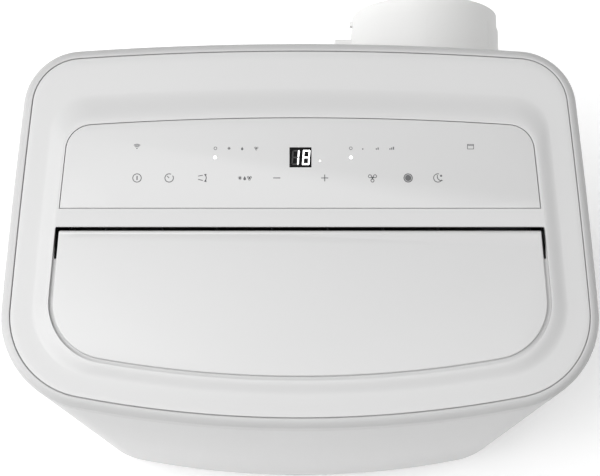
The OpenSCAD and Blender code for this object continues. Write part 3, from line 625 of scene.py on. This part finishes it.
def stadium(length, height, steps=20):
    """Points of a slot with round ends, in y and z."""
    r = height / 2
    reach = length / 2 - r
    right = [(reach + r * cos(q), r * sin(q)) for q in (pi / 2 - pi * i / steps for i in range(steps + 1))]
    return right + [(-y, -z) for y, z in right]


def slot_tool(name, side, length, height, x0, x1, finish):
    place = handle_frame(side)
    loops = [[place @ Vector((x, y, z)) for y, z in stadium(length, height)] for x in (x0, x1)]
    return piece(name, *shape_loft(loops), finish)


def rod(name, x, z, r, y0, y1, finish, steps=48):
    """A plain cylinder along y, in plan coordinates."""
    loops = [[Vector((x + r * cos(q), y + PLAN_Y, z + r * sin(q)))
              for q in (2 * pi * i / steps for i in range(steps))] for y in (y0, y1)]
    return piece(name, *shape_loft(loops), finish)


def front_shell():
    wall = split_wall(True)
    cut(wall, *[slot_tool("grip", s, 116 * MM, 40 * MM, -12 * MM, 8 * MM, white_abs) for s in (1, -1)])
    ease_edges(wall, 0.7 * MM, angle=50, segments=3)
    settle(wall, "cabinet", "shell_white", "front_casing")


def rounded_rect(x0, x1, z0, z1, r, steps=6):
    """Corner-rounded rectangle as (x, z) points."""
    corners = [(x1 - r, z1 - r, 0), (x0 + r, z1 - r, 1), (x0 + r, z0 + r, 2), (x1 - r, z0 + r, 3)]
    return [(x + r * cos(q), z + r * sin(q)) for x, z, k in corners
            for q in (pi / 2 * (k + i / steps) for i in range(steps + 1))]


def prism_y(loops, y0, y1):
    """Verts and faces of (x, z) loops extended along y, all in one mesh."""
    verts, faces = [], []
    for loop in loops:
        v, f = shape_loft([[Vector((x, y + PLAN_Y, z)) for x, z in loop] for y in (y0, y1)])
        faces += [tuple(i + len(verts) for i in face) for face in f]
        verts += v
    return verts, faces


UPPER_WIN, LOWER_WIN = (TOP_Z - 184 * MM, TOP_Z - 50 * MM), (112 * MM, 350 * MM)
WINDOW_X = 178 * MM
THROUGH_REAR = (130 * MM, 190 * MM)
SPOUTS = {"upper_drain_plug": (-150 * MM, 400 * MM), "lower_drain_plug": (150 * MM, 72 * MM)}
GLAND = (-175 * MM, 100.5 * MM)
CLEATS = ((-60 * MM, 430 * MM), (-60 * MM, 505 * MM))
SCREWS = [(x * MM, z * MM) for x in (-188, 188) for z in (130, 362, 548, 690)]


def rear_shell():
    wall = split_wall(False)
    windows = [rounded_rect(-WINDOW_X, WINDOW_X, *win, 8 * MM) for win in (UPPER_WIN, LOWER_WIN)]
    cut(wall, piece("windows", *prism_y(windows, *THROUGH_REAR), white_abs))
    holes = [(DUCT_X, DUCT_Z, 79 * MM), (*GLAND, 8.2 * MM)]
    holes += [(*spout, 8.2 * MM) for spout in SPOUTS.values()] + [(*at, 4.1 * MM) for at in CLEATS]
    holes += [(*at, 2.1 * MM) for at in SCREWS]
    for i, (x, z, r) in enumerate(holes):
        cut(wall, rod(f"hole_{i}", x, z, r, *THROUGH_REAR, white_abs, 96 if r > 0.02 else 24))
    ease_edges(wall, 0.5 * MM, angle=50)
    settle(wall, "cabinet", "shell_white", "rear_casing")


def grille(name, body, window, rows, pitch):
    """Curved intake grille: three columns of slots with rounded ends."""
    gap = 0.5 * MM
    half = [p for p in shell(0)[:len(shell(0)) // 2 + 1] if p.x < WINDOW_X + 8 * MM and p.y > 0]
    outer = [Vector((-p.x, p.y)) for p in half[:0:-1]] + half
    section = outer + [Vector((p.x, p.y - WALL)) for p in outer[::-1]]
    plate = stack_piece(name, [(section, window[0] - 0.01), (section, window[1] + 0.01)], white_pp)
    frame_tool = piece("edge", *prism_y([rounded_rect(gap - WINDOW_X, WINDOW_X - gap, window[0] + gap,
                                                      window[1] - gap, 7.5 * MM)], *THROUGH_REAR), white_pp)
    combine(plate, [frame_tool], "INTERSECT")
    slots = [rounded_rect(a * MM, b * MM, z, z + pitch - 3.6 * MM, 2.4 * MM, 4)
             for z in (window[0] + 11 * MM + i * pitch for i in range(rows))
             for a, b in ((-166, -60), (-53, 53), (60, 166))]
    cut(plate, piece("slots", *prism_y(slots, *THROUGH_REAR), white_pp))
    ease_edges(plate, 0.4 * MM, angle=50)
    settle(plate, body, "shell_white", name)


def side_prism(name, side, loop, x0, x1):
    """(y, z) loop extended outwards from a side wall, in the grip's own frame."""
    place = handle_frame(side)
    loops = [[place @ Vector((x, y, z)) for y, z in loop] for x in (x0, x1)]
    return piece(name, *shape_loft(loops), grey_abs)


def handle(name, side):
    """Recessed grip: a lip in the wall, and behind it a pocket that reaches up for the fingers."""
    half_l, half_h = 58 * MM, 20 * MM
    cup = side_prism(name, side, rounded_rect(MM - half_l, half_l - MM, 0.5 * MM - half_h, 36 * MM, 6 * MM),
                     -27 * MM, -9 * MM)
    join(cup, side_prism("lip", side, stadium(115 * MM, 39 * MM), -12 * MM, -0.6 * MM))
    cut(cup, side_prism("mouth", side, stadium(110 * MM, 34 * MM), -24.5 * MM, 2 * MM),
        side_prism("pocket", side, rounded_rect(3.5 * MM - half_l, half_l - 3.5 * MM, 3 * MM - half_h,
                                                33.5 * MM, 4 * MM), -24.5 * MM, -11.5 * MM))
    ease_edges(cup, 0.6 * MM, angle=50)
    settle(cup, "cabinet", "grey_plastic", name)


def turned_y(name, profile, x, z, finish, steps=96, closed=True):
    """A turned piece with its axis along y; the profile is (radius, y) in plan coordinates."""
    return revolve(name, profile, Vector((x, PLAN_Y, z)), Vector((0, 1, 0)), finish, steps, closed=closed)


def exhaust():
    """The collar on the rear wall, and the adapter that clips into it."""
    collar = turned_y("collar", [(71 * MM, 0.1395), (78.7 * MM, 0.1395), (88 * MM, 0.1395),
                                 (88 * MM, REAR_Y + 3.7 * MM), (87.2 * MM, REAR_Y + 4.5 * MM),
                                 (71 * MM, REAR_Y + 4.5 * MM)], DUCT_X, DUCT_Z, white_pp, 128)
    inside = stack_piece("inside", [(shell(0.2 * MM), 0.3), (shell(0.2 * MM), 0.6)], white_pp)
    cut(inside, rod("throat", DUCT_X, DUCT_Z, 78.7 * MM, 0.1, 0.2, white_pp, 128))
    cut(collar, inside)
    ease_edges(collar, 0.5 * MM, angle=50)
    settle(collar, "cabinet", "shell_white", "exhaust_collar")

    y0, y1 = REAR_Y + 5 * MM, DUCT_END
    step = y1 - 17 * MM
    profile = [(67.4 * MM, REAR_Y - 12 * MM), (70.6 * MM, REAR_Y - 12 * MM), (70.6 * MM, y0), (79.2 * MM, y0),
               (80 * MM, y0 + 0.8 * MM), (80 * MM, y0 + 3.2 * MM), (79.2 * MM, y0 + 4 * MM),
               (76 * MM, y0 + 4 * MM), (DUCT_R, y0 + 5 * MM), (DUCT_R, step), (74.8 * MM, step + 0.5 * MM),
               (73.8 * MM, step + 0.7 * MM), (73.6 * MM, step + 1.2 * MM)]
    profile += [(72.1 * MM + 1.5 * MM * cos(q), y1 - 1.5 * MM + 1.5 * MM * sin(q))
                for q in (pi / 12 * i for i in range(7))]
    profile += [(72 * MM, y1 - 0.3 * MM), (72 * MM, y0 + 4 * MM), (67.4 * MM, y0)]
    tube = turned_y("adapter", profile, DUCT_X, DUCT_Z, white_pp, 160)
    left = DUCT_X - DUCT_R
    catch = block("catch", (left - 17 * MM, REAR_Y + 58 * MM, DUCT_Z - 10 * MM),
                  (left + 3 * MM, REAR_Y + 83 * MM, DUCT_Z + 10 * MM), white_pp)
    ease_edges(catch, 1.6 * MM, segments=4)
    nub = block("nub", (left - 1.2 * MM, y1 - 9 * MM, DUCT_Z - 4 * MM),
                (left + 3 * MM, y1 - 4.5 * MM, DUCT_Z + 4 * MM), white_pp)
    ease_edges(nub, 0.4 * MM)
    core = rod("core", DUCT_X, DUCT_Z, 73 * MM, REAR_Y, y1 + 0.01, white_pp, 160)
    cut(nub, core)
    core = rod("core", DUCT_X, DUCT_Z, 73 * MM, REAR_Y, y1 + 0.01, white_pp, 160)
    cut(catch, core)
    join(tube, catch, nub)
    for i, angle in enumerate((92, 36)):
        q = radians(angle)
        middle = Vector((DUCT_X + DUCT_R * cos(q), 0, DUCT_Z + DUCT_R * sin(q)))
        turn = Matrix.Translation(middle) @ Matrix.Rotation(-q, 4, "Y")
        groove = block(f"groove_{i}", (-0.35 * MM, y0 + 6 * MM, -0.25 * MM), (2 * MM, y1 + MM, 0.25 * MM),
                       white_pp, turn)
        cut(tube, groove)
    tidy(tube)
    settle(tube, "exhaust_adapter", "shell_white", "exhaust_adapter")


def flap():
    """Outlet door: a 5 mm plate with a thinner rim, a full round along its rear, and its hinge lugs."""
    edge, bead_r, lip, under = 1.4 * MM, 2.5 * MM, TOP_Z - 3.4 * MM, TOP_Z - FLAP_T

    def loop(inset):
        return cut_behind(opening(FLAP_GAP + inset), FLAP_REAR - bead_r - inset)

    levels = [(loop(9 * MM), under), (loop(8 * MM), lip), (loop(0.4 * MM), lip), (loop(0), lip + 0.4 * MM)]
    levels += [(loop(edge * (1 - cos(q))), TOP_Z - edge * (1 - sin(q)))
               for q in (pi / 12 * i for i in range(7))]
    door = stack_piece("outlet_flap", levels, flap_abs)
    half = loop(0)[12].x
    bead_y = FLAP_REAR - bead_r + PLAN_Y
    turns = (0, pi / 4, pi / 2)
    profile = [(0, -half), *[(bead_r - MM + MM * sin(q), MM - half - MM * cos(q)) for q in turns],
               *[(bead_r - MM + MM * cos(q), half - MM + MM * sin(q)) for q in turns], (0, half)]
    bead = revolve("bead", profile, Vector((0, bead_y, TOP_Z - bead_r)), Vector((1, 0, 0)), flap_abs, 32,
                   closed=False)
    lugs = []
    for i, x in enumerate((-192 * MM, 148 * MM, 191 * MM)):
        lugs.append(block(f"lug_{i}", (x - 2 * MM, HINGE_Y - 5.5 * MM, HINGE_Z),
                          (x + 2 * MM, HINGE_Y + 5.5 * MM, under + 0.5 * MM), flap_abs))
        lugs.append(rod_x(f"eye_{i}", HINGE_Y, HINGE_Z, 5.5 * MM, x - 2 * MM, x + 2 * MM, flap_abs))
    pins = [rod_x("pin_0", HINGE_Y, HINGE_Z, 2.5 * MM, -0.1985, -0.192, flap_abs),
            rod_x("pin_1", HINGE_Y, HINGE_Z, 2.5 * MM, 0.191, 0.1985, flap_abs)]
    ribs = [block(f"rib_{y}", (-0.15, (y - 1) * MM, under - 1.5 * MM), (0.14, (y + 1) * MM, under + 0.5 * MM),
                  flap_abs) for y in (-95, -65, -35)]
    join(door, bead, *lugs, *pins, *ribs)
    cut(door, rod_x("bore", HINGE_Y, HINGE_Z, 2.02 * MM, 0.145, 0.151, flap_abs))
    tidy(door, 40)
    settle(door, "flap", "shell_white", "flap")


def rod_x(name, y, z, r, x0, x1, finish, steps=40):
    """A plain cylinder along x, in plan coordinates."""
    loops = [[Vector((x, y + PLAN_Y + r * cos(q), z + r * sin(q)))
              for q in (2 * pi * i / steps for i in range(steps))] for x in (x0, x1)]
    return piece(name, *shape_loft(loops), finish)


# ---------------------------------------------------------------- marks and lights on the touch panel

def prism_z(loop, z0, z1):
    return shape_loft([[Vector((x * MM, y * MM + PLAN_Y, z)) for x, y in loop] for z in (z0, z1)])


def stroke(points, width):
    """Outline of a line of this width through (x, y) points, in mm."""
    left, right = [], []
    for i, (x, y) in enumerate(points):
        (ax, ay), (bx, by) = points[max(i - 1, 0)], points[min(i + 1, len(points) - 1)]
        length = hypot(bx - ax, by - ay)
        nx, ny = (ay - by) / length * width / 2, (bx - ax) / length * width / 2
        left.append((x + nx, y + ny))
        right.append((x - nx, y - ny))
    return left + right[::-1]


def curve(x, y, r, start, end, steps=24):
    """(x, y) points of an arc, angles in degrees."""
    return [(x + r * cos(q), y + r * sin(q)) for q in (radians(start + (end - start) * i / steps)
                                                       for i in range(steps + 1))]


def disc(x, y, r, steps=32):
    return curve(x, y, r, 0, 360 * (1 - 1 / steps), steps - 1)


def rect(x0, y0, x1, y1):
    return [(x0, y0), (x1, y0), (x1, y1), (x0, y1)]


def marks(name, loops, top, finish, slot):
    """Thin closed prisms that stand just proud of the panel."""
    verts, faces = [], []
    for loop in loops:
        v, f = prism_z(loop, FILM_Z - 0.05 * MM, FILM_Z + top * MM)
        faces += [tuple(i + len(verts) for i in face) for face in f]
        verts += v
    settle(piece(name, verts, faces, finish), "cabinet", slot)


def ring_halves(x, y, r, width):
    return [stroke(curve(x, y, r, a, a + 180), width) for a in (0, 180)]


def asterisk(x, y, r, width):
    return [stroke([(x - r * cos(q), y - r * sin(q)), (x + r * cos(q), y + r * sin(q))], width)
            for q in (0, pi / 3, 2 * pi / 3)]


def drop(x, y, r):
    return [(x, y + 2 * r)] + curve(x, y, r, 150, 390, 16)


def fan_mark(x, y, reach, r, width):
    loops = [disc(x, y, width * 1.3, 12)]
    for a in (30, 150, 270):
        ux, uy = cos(radians(a)), sin(radians(a))
        loops += ring_halves(x + reach * ux, y + reach * uy, r, width)
        loops.append(stroke([(x, y), (x + (reach - r) * ux, y + (reach - r) * uy)], width))
    return loops


def panel_marks():
    """Row of touch keys, two rows of small signs over their lamps, and the signs at both ends."""
    y, w, thin = 47, 0.75, 0.5
    power = ring_halves(-138.5, y, 3.6, w) + [stroke([(-138.5, y - 1.8), (-138.5, y + 1.8)], 1.0)]
    timer = [stroke(curve(-111.2, y, 3.6, 65, 395), w), stroke([(-111.2, y), (-112.9, y + 1.7)], w)]
    swing = [stroke([(-86.6, y - 1.2), (-82.6, y - 2.2)], w), stroke([(-86.6, y + 1.6), (-82.6, y + 2.4)], w),
             stroke(curve(-84.6, y, 4.9, -34, 34), w), [(-81.6, y + 3.3), (-79.2, y + 3.5), (-80.4, y + 1.5)],
             [(-81.6, y - 3.3), (-80.4, y - 1.5), (-79.2, y - 3.5)]]
    modes = asterisk(-51, y, 1.7, 0.6) + [drop(-47, y - 0.8, 1.2)] + fan_mark(-43, y, 1.2, 0.75, 0.5)
    minus_plus = [stroke([(-22.7, y), (-16.7, y)], 0.8), stroke([(18, y), (24, y)], w),
                  stroke([(21, y - 3), (21, y + 3)], w)]
    fan = fan_mark(61.6, y + 0.2, 2.5, 1.3, 0.65)
    disc_key = [disc(91.9, y, 2.7)] + ring_halves(91.9, y, 3.5, 0.9)
    moon = [stroke(curve(117.2, y, 3.6, 75, 335), w), stroke(curve(120.2, y + 1.2, 3.5, 158, 285), w),
            disc(119.9, y + 1.9, 0.95, 16)]
    row = 72.9
    mode_row = ring_halves(-72.1, row, 1.2, thin) + asterisk(-60.5, row, 1.4, thin)
    mode_row += [drop(-49.3, row - 0.7, 1.0)] + fan_mark(-37.3, row, 1.0, 0.6, 0.4)
    speed_row = ring_halves(43.3, row, 1.2, thin)
    for x, bars in ((54.9, 1), (66.5, 2), (78.1, 3)):
        speed_row += [rect(x - 1.9 + 1.5 * i, row - 1.2, x - 0.9 + 1.5 * i, row + 0.7 * i)
                      for i in range(bars)]
    signal = [stroke(curve(-139, 72.2, r, 50, 130, 10), 0.6) for r in (2.3, 3.3, 4.3)]
    signal.append(disc(-139, 72.9, 0.6, 12))
    square = [stroke(path, 0.55) for path in (
        [(142.8, 72.3), (148, 72.3)], [(142.8, 76.3), (148, 76.3)], [(142.8, 72.1), (142.8, 76.5)],
        [(148, 72.1), (148, 76.5)], [(143, 75.3), (147.8, 75.3)])]
    keys = power + timer + swing + modes + minus_plus + fan + disc_key + moon
    marks("panel_ink", keys + mode_row + speed_row + signal + square, 0.03, screen_ink, "grey_plastic")
    window = rounded_rect(-9, 9.8, 56.2, 73.8, 0.3, 3)
    marks("display_window", [window], 0.03, smoked_acrylic, "display_black")
    lamps_at = [disc(-72.4, 65, 1.35), disc(43.3, 65, 1.35), disc(17, 61.9, 0.7)]
    marks("status_lamps", lamps_at, 0.04, status_light, "panel_white")
    marks("lit_digits", segments(-7.4, "bc") + segments(1.7, "abcdefg"), 0.06, digit_light, "panel_white")
    marks("unlit_digits", segments(-7.4, "adefg"), 0.05, unlit_digit, "display_black")


def segments(x0, names):
    """Bars of one seven-segment digit that leans to the right; x0 is its lower left corner in mm."""
    y0, width, height, thick, lean = 58.4, 6.2, 13.0, 1.25, 0.9
    mid, gap = height / 2, 0.12
    left, right = thick / 2, width - thick / 2
    spans = {"a": ((0, height - thick / 2), (width, height - thick / 2)), "g": ((0, mid), (width, mid)),
             "d": ((0, thick / 2), (width, thick / 2)), "b": ((right, mid), (right, height)),
             "c": ((right, 0), (right, mid)), "e": ((left, 0), (left, mid)),
             "f": ((left, mid), (left, height))}
    loops = []
    for name in names:
        (ax, ay), (bx, by) = spans[name]
        ux, uy = (bx > ax), (by > ay)
        ax, bx, ay, by = ax + gap * ux, bx - gap * ux, ay + gap * uy, by - gap * uy
        h = thick / 2
        bar = [(ax, ay), (ax + h * (ux - uy), ay + h * (uy - ux)),
               (bx - h * (ux + uy), by - h * (uy + ux)), (bx, by),
               (bx - h * (ux - uy), by - h * (uy - ux)), (ax + h * (ux + uy), ay + h * (uy + ux))]
        loops.append([(x0 + x + lean * y / height, y0 + y) for x, y in bar])
    return loops


# ---------------------------------------------------------------- base, casters and rear trim

CASTERS = [Vector((x * MM, y * MM + PLAN_Y, 0)) for y in (-100, 105) for x in (-185, 185)]
WHEEL_R, TRAIL, AXLE_Z = 20 * MM, 14 * MM, 20 * MM


def upright(name, x, y, r, z0, z1, finish, steps=40):
    """A plain upright cylinder, y in plan coordinates."""
    loops = [[Vector((x + r * cos(q), y + PLAN_Y + r * sin(q), z))
              for q in (2 * pi * i / steps for i in range(steps))] for z in (z0, z1)]
    return piece(name, *shape_loft(loops), finish)


def base():
    """Floor pan with a rounded lower edge, caster sockets and the lower drain spout."""
    foot = 54 * MM
    edge = 3 * MM
    levels = [(shell(6 * MM + edge * (1 - sin(q))), foot + edge * (1 - cos(q)))
              for q in (pi / 12 * i for i in range(7))] + [(shell(6 * MM), 92 * MM)]
    pan = stack_piece("floor_pan", levels, black_nylon)
    cut(pan, stack_piece("room", [(shell(8.5 * MM), 58 * MM), (shell(8.5 * MM), 93 * MM)], black_nylon))
    sockets = [upright(f"socket_{i}", p.x, p.y - PLAN_Y, 12 * MM, 57 * MM, 80 * MM, black_nylon)
               for i, p in enumerate(CASTERS)]
    x, z = SPOUTS["lower_drain_plug"]
    join(pan, *sockets, rod("spout", x, z, 8 * MM, 0.155, 0.172, black_nylon))
    stems = [upright(f"stem_{i}", p.x, p.y - PLAN_Y, 5.58 * MM, 53 * MM, 75 * MM, black_nylon)
             for i, p in enumerate(CASTERS)]
    cut(pan, rod("drain", x, z, 6 * MM, 0.150, 0.173, black_nylon), *stems)
    tidy(pan)
    settle(pan, "cabinet", "black_plastic", "base_pan")


def copy_to(obj, name, shift):
    twin = bpy.data.objects.new(name, obj.data.copy())
    twin.data.transform(Matrix.Translation(shift))
    bpy.context.scene.collection.objects.link(twin)
    return twin


def casters():
    """Twin-wheel casters: a hooded fork between two wheels with rounded tyres, and their hub caps."""
    axle_y = TRAIL
    shift_back = Vector((0, -PLAN_Y, 0))
    fork = upright("fork", 0, 0, 16 * MM, 45 * MM, 53.7 * MM, black_nylon, 64)
    ease_edges(fork, 1.2 * MM, segments=3)
    outline_yz = [(-9 * MM, 46 * MM)] + [(axle_y + 9 * MM * cos(q), AXLE_Z + 9 * MM * sin(q))
                                         for q in (radians(a) for a in range(215, 380, 15))]
    outline_yz += [(20 * MM, 36 * MM), (14 * MM, 46 * MM)]
    web = piece("web", *shape_loft([[Vector((x, y + PLAN_Y, z)) for y, z in outline_yz]
                                    for x in (-5 * MM, 5 * MM)]), black_nylon)
    ease_edges(web, MM)
    hood_arc = [radians(a) for a in range(30, 171, 10)]
    hood_yz = [(axle_y + 23 * MM * cos(q), AXLE_Z + 23 * MM * sin(q)) for q in hood_arc]
    hood_yz += [(axle_y + 21.2 * MM * cos(q), AXLE_Z + 21.2 * MM * sin(q)) for q in hood_arc[::-1]]
    hood = piece("hood", *shape_loft([[Vector((x, y + PLAN_Y, z)) for y, z in hood_yz]
                                      for x in (-17 * MM, 17 * MM)]), black_nylon)
    ease_edges(hood, 0.6 * MM)
    neck = upright("neck", 0, 0, 9 * MM, 40 * MM, 46 * MM, black_nylon)
    stem = upright("stem", 0, 0, 5.5 * MM, 53 * MM, 74 * MM, black_nylon)
    join(fork, web, hood, neck, stem)
    cut(fork, rod_x("axle", axle_y, AXLE_Z, 2.58 * MM, -6 * MM, 6 * MM, black_nylon))
    tidy(fork)
    centre, axis = Vector((0, axle_y + PLAN_Y, AXLE_Z)), Vector((1, 0, 0))
    side = [(WHEEL_R - 3 * MM + 3 * MM * sin(q), 9 * MM - 3 * MM * cos(q))
            for q in (pi / 8 * i for i in range(5))]
    tyre = [(2.5 * MM, 6.4 * MM), (11 * MM, 6.4 * MM), (13 * MM, 6 * MM)] + side
    tyre += [(r, 24 * MM - h) for r, h in side[::-1]]
    tyre += [(15 * MM, 18 * MM), (14 * MM, 17.6 * MM), (14 * MM, 15.6 * MM), (2.5 * MM, 15.6 * MM)]
    wheel = revolve("wheel", tyre, centre, axis, tyre_pu, 96)
    other = revolve("other", [(r, -h) for r, h in tyre], centre, axis, tyre_pu, 96)
    axle = rod_x("axle", axle_y, AXLE_Z, 2.5 * MM, -16 * MM, 16 * MM, tyre_pu)
    join(wheel, other, axle)
    tidy(wheel)
    cap = [(0, 15.6 * MM), (13.4 * MM, 15.6 * MM), (13.4 * MM, 16.2 * MM), (12.6 * MM, 17 * MM),
           (8 * MM, 17.3 * MM), (7.4 * MM, 16.9 * MM), (0, 16.9 * MM)]
    caps = revolve("caps", cap, centre, axis, grey_abs, 64, closed=False)
    join(caps, revolve("cap", [(r, -h) for r, h in cap], centre, axis, grey_abs, 64, closed=False))
    tidy(caps)
    for i, at in enumerate(CASTERS, 1):
        place, turning, rolling = at + shift_back, f"caster_{i}", f"caster_wheels_{i}"
        settle(copy_to(fork, f"caster_body_{i}", place), turning, "black_plastic", f"caster_fork_{i}")
        settle(copy_to(wheel, f"caster_tyres_{i}", place), rolling, "caster_tread", rolling)
        settle(copy_to(caps, f"caster_caps_{i}", place), rolling, "grey_plastic")
    for obj in (fork, wheel, caps):
        bpy.data.objects.remove(obj)


def rear_trim():
    """Drain plugs, cord gland, cord hooks and screws."""
    for name, (x, z) in SPOUTS.items():
        profile = [(0, 0.160), (5.2 * MM, 0.160), (5.6 * MM, 0.1606), (5.6 * MM, 0.1721), (9.4 * MM, 0.1721),
                   (10 * MM, 0.1727), (10 * MM, 0.1752), (9.2 * MM, 0.176), (0, 0.176)]
        plug = turned_y(f"{name}_rubber", profile, x, z, grey_abs, 64, closed=False)
        tab = block("tab", (x - 2 * MM, 0.1755, z - 8 * MM), (x + 2 * MM, 0.184, z + 8 * MM), grey_abs)
        ease_edges(tab, 0.9 * MM, segments=3)
        join(plug, tab)
        tidy(plug)
        settle(plug, name, "grey_plastic", name)

    steps = ((8, 0.5), (7.8, 3), (6.9, 3.2), (6.9, 4.4), (7.5, 4.6), (7.2, 7), (6.3, 7.2), (6.3, 8.4),
             (6.9, 8.6), (6.6, 11), (6.1, 14.4), (5.6, 15))
    ribs = [(r * MM, 0.168 + h * MM) for r, h in steps]
    gland = turned_y("gland", [(4.2 * MM, 0.155), (8 * MM, 0.155), (8 * MM, 0.1638), (11 * MM, 0.1638),
                               (11 * MM, 0.1672), (10.2 * MM, 0.168), *ribs, (4.2 * MM, 0.183)],
                     *GLAND, black_nylon, 64)
    settle(gland, "cabinet", "black_plastic", "cord_gland")

    hooks = []
    for i, (x, z) in enumerate(CLEATS):
        hook = rod(f"hook_{i}", x, z, 9 * MM, REAR_Y + 0.1 * MM, REAR_Y + 24 * MM, white_pp, 64)
        reach = 24 * MM if i else -24 * MM
        lo, hi = min(z, z + reach), max(z, z + reach)
        arm = piece("arm", *prism_y([rounded_rect(x - 9 * MM, x + 9 * MM, lo - (9 * MM if i else 0),
                                                  hi + (0 if i else 9 * MM), 5 * MM)], REAR_Y + 19 * MM,
                                    REAR_Y + 24 * MM), white_pp)
        join(hook, arm, rod("pin", x, z, 4 * MM, 0.158, REAR_Y + MM, white_pp))
        ease_edges(hook, 0.9 * MM, angle=50, segments=3)
        hooks.append(hook)
    join(hooks[0], hooks[1])
    hooks[0].name = "cord_hooks"
    settle(hooks[0], "cabinet", "shell_white", "cord_cleats")

    verts, faces = [], []
    for x, z in SCREWS:
        face_y = REAR_Y - x * x / (2 * REAR_R)
        steps = ((0, -9), (2, -8), (2, 0.4), (3.7, 0.4), (4, 0.8), (3.6, 1.8), (2.4, 2.4), (0, 2.6))
        dome = [(r * MM, face_y + h * MM) for r, h in steps]
        screw = turned_y("screw", dome, x, z, zinc_steel, 32, closed=False)
        cross = [block(f"arm_{w}", (x - w * MM, face_y + 1.3 * MM, z - h * MM),
                       (x + w * MM, face_y + 4 * MM, z + h * MM), zinc_steel)
                 for w, h in ((0.5, 2), (2, 0.5))]
        cut(screw, *cross)
        faces += [tuple(v + len(verts) for v in f.vertices) for f in screw.data.polygons]
        verts += [v.co.copy() for v in screw.data.vertices]
        bpy.data.objects.remove(screw)
    settle(piece("case_screws", verts, faces, zinc_steel), "cabinet", "steel", "casing_screws")


rim()
top_deck()
touch_panel()
flap()
front_shell()
rear_shell()
grille("upper_grille", "upper_cassette", UPPER_WIN, 12, 9.3 * MM)
grille("lower_grille", "lower_cassette", LOWER_WIN, 23, 9.4 * MM)
handle("handle_right", 1)
handle("handle_left", -1)
exhaust()
panel_marks()
base()
casters()
rear_trim()

# ---------------------------------------------------------------- stage, light and camera

def studio():
    """A pale floor that is lit from below like a light table, and a faint even sky."""
    floor = bpy.data.meshes.new("floor")
    half = 12.0
    corners = [(-half, -half, 0), (half, -half, 0), (half, half, 0), (-half, half, 0)]
    floor.from_pydata(corners, [], [(0, 1, 2, 3)])
    floor_obj = bpy.data.objects.new("floor", floor)
    bpy.context.scene.collection.objects.link(floor_obj)
    paper, shader = surface("matt_white_backdrop")
    shader.inputs["Base Color"].default_value = srgb("#fbfbfb")
    shader.inputs["Roughness"].default_value = 0.9
    shader.inputs["Emission Color"].default_value = (1, 1, 1, 1)
    shader.inputs["Emission Strength"].default_value = 0.2
    floor.materials.append(paper)

    world = bpy.data.worlds.new("studio")
    bpy.context.scene.world = world
    world.use_nodes = True
    sky = world.node_tree.nodes["Background"]
    sky.inputs["Color"].default_value = (1, 1, 1, 1)
    sky.inputs["Strength"].default_value = SKY


SKY = 0.05
LAMPS = [
    # azimuth (0 in front, 90 on the right), elevation, strength, apparent width, all angles in degrees;
    # last the distance in metres of the one that is near enough to fade across the top
    ("overhead_softbox", -85, 65, 1.45, 50, None),
    ("left_front_softbox", -78, 15, 1.5, 40, None),
    ("top_fill", 0, 75, 0.85, 50, None),
    ("right_softbox", 100, 40, 0.55, 50, None),
    ("left_strip", -90, 60, 0.85, 30, 1.4),
]


def lamps():
    """Wide soft lights that face the top; strength is the light that arrives there."""
    for name, azimuth, elevation, strength, width, distance in LAMPS:
        lamp = bpy.data.lights.new(name, "AREA" if distance else "SUN")
        a, e = radians(azimuth), radians(elevation)
        towards = Vector((sin(a) * cos(e), -cos(a) * cos(e), sin(e)))
        if distance:
            lamp.energy, lamp.size = strength * pi * distance ** 2, 2 * distance * tan(radians(width / 2))
        else:
            lamp.energy, lamp.angle = strength, radians(width)
        obj = bpy.data.objects.new(name, lamp)
        bpy.context.scene.collection.objects.link(obj)
        obj.location = Vector((0, PLAN_Y, TOP_Z)) + towards * (distance or 5)
        obj.rotation_euler = towards.to_track_quat("Z", "Y").to_euler()


def camera():
    lens = bpy.data.cameras.new("camera")
    lens.sensor_width, lens.lens = 36.0, 108.9
    obj = bpy.data.objects.new("camera", lens)
    bpy.context.scene.collection.objects.link(obj)
    obj.location = (0, PLAN_Y - 290.05 * MM, TOP_Z + 1.506)
    obj.rotation_euler = (radians(10.72), 0, 0)
    bpy.context.scene.camera = obj


studio()
lamps()
camera()
bpy.context.scene.view_settings.view_transform = "Standard"
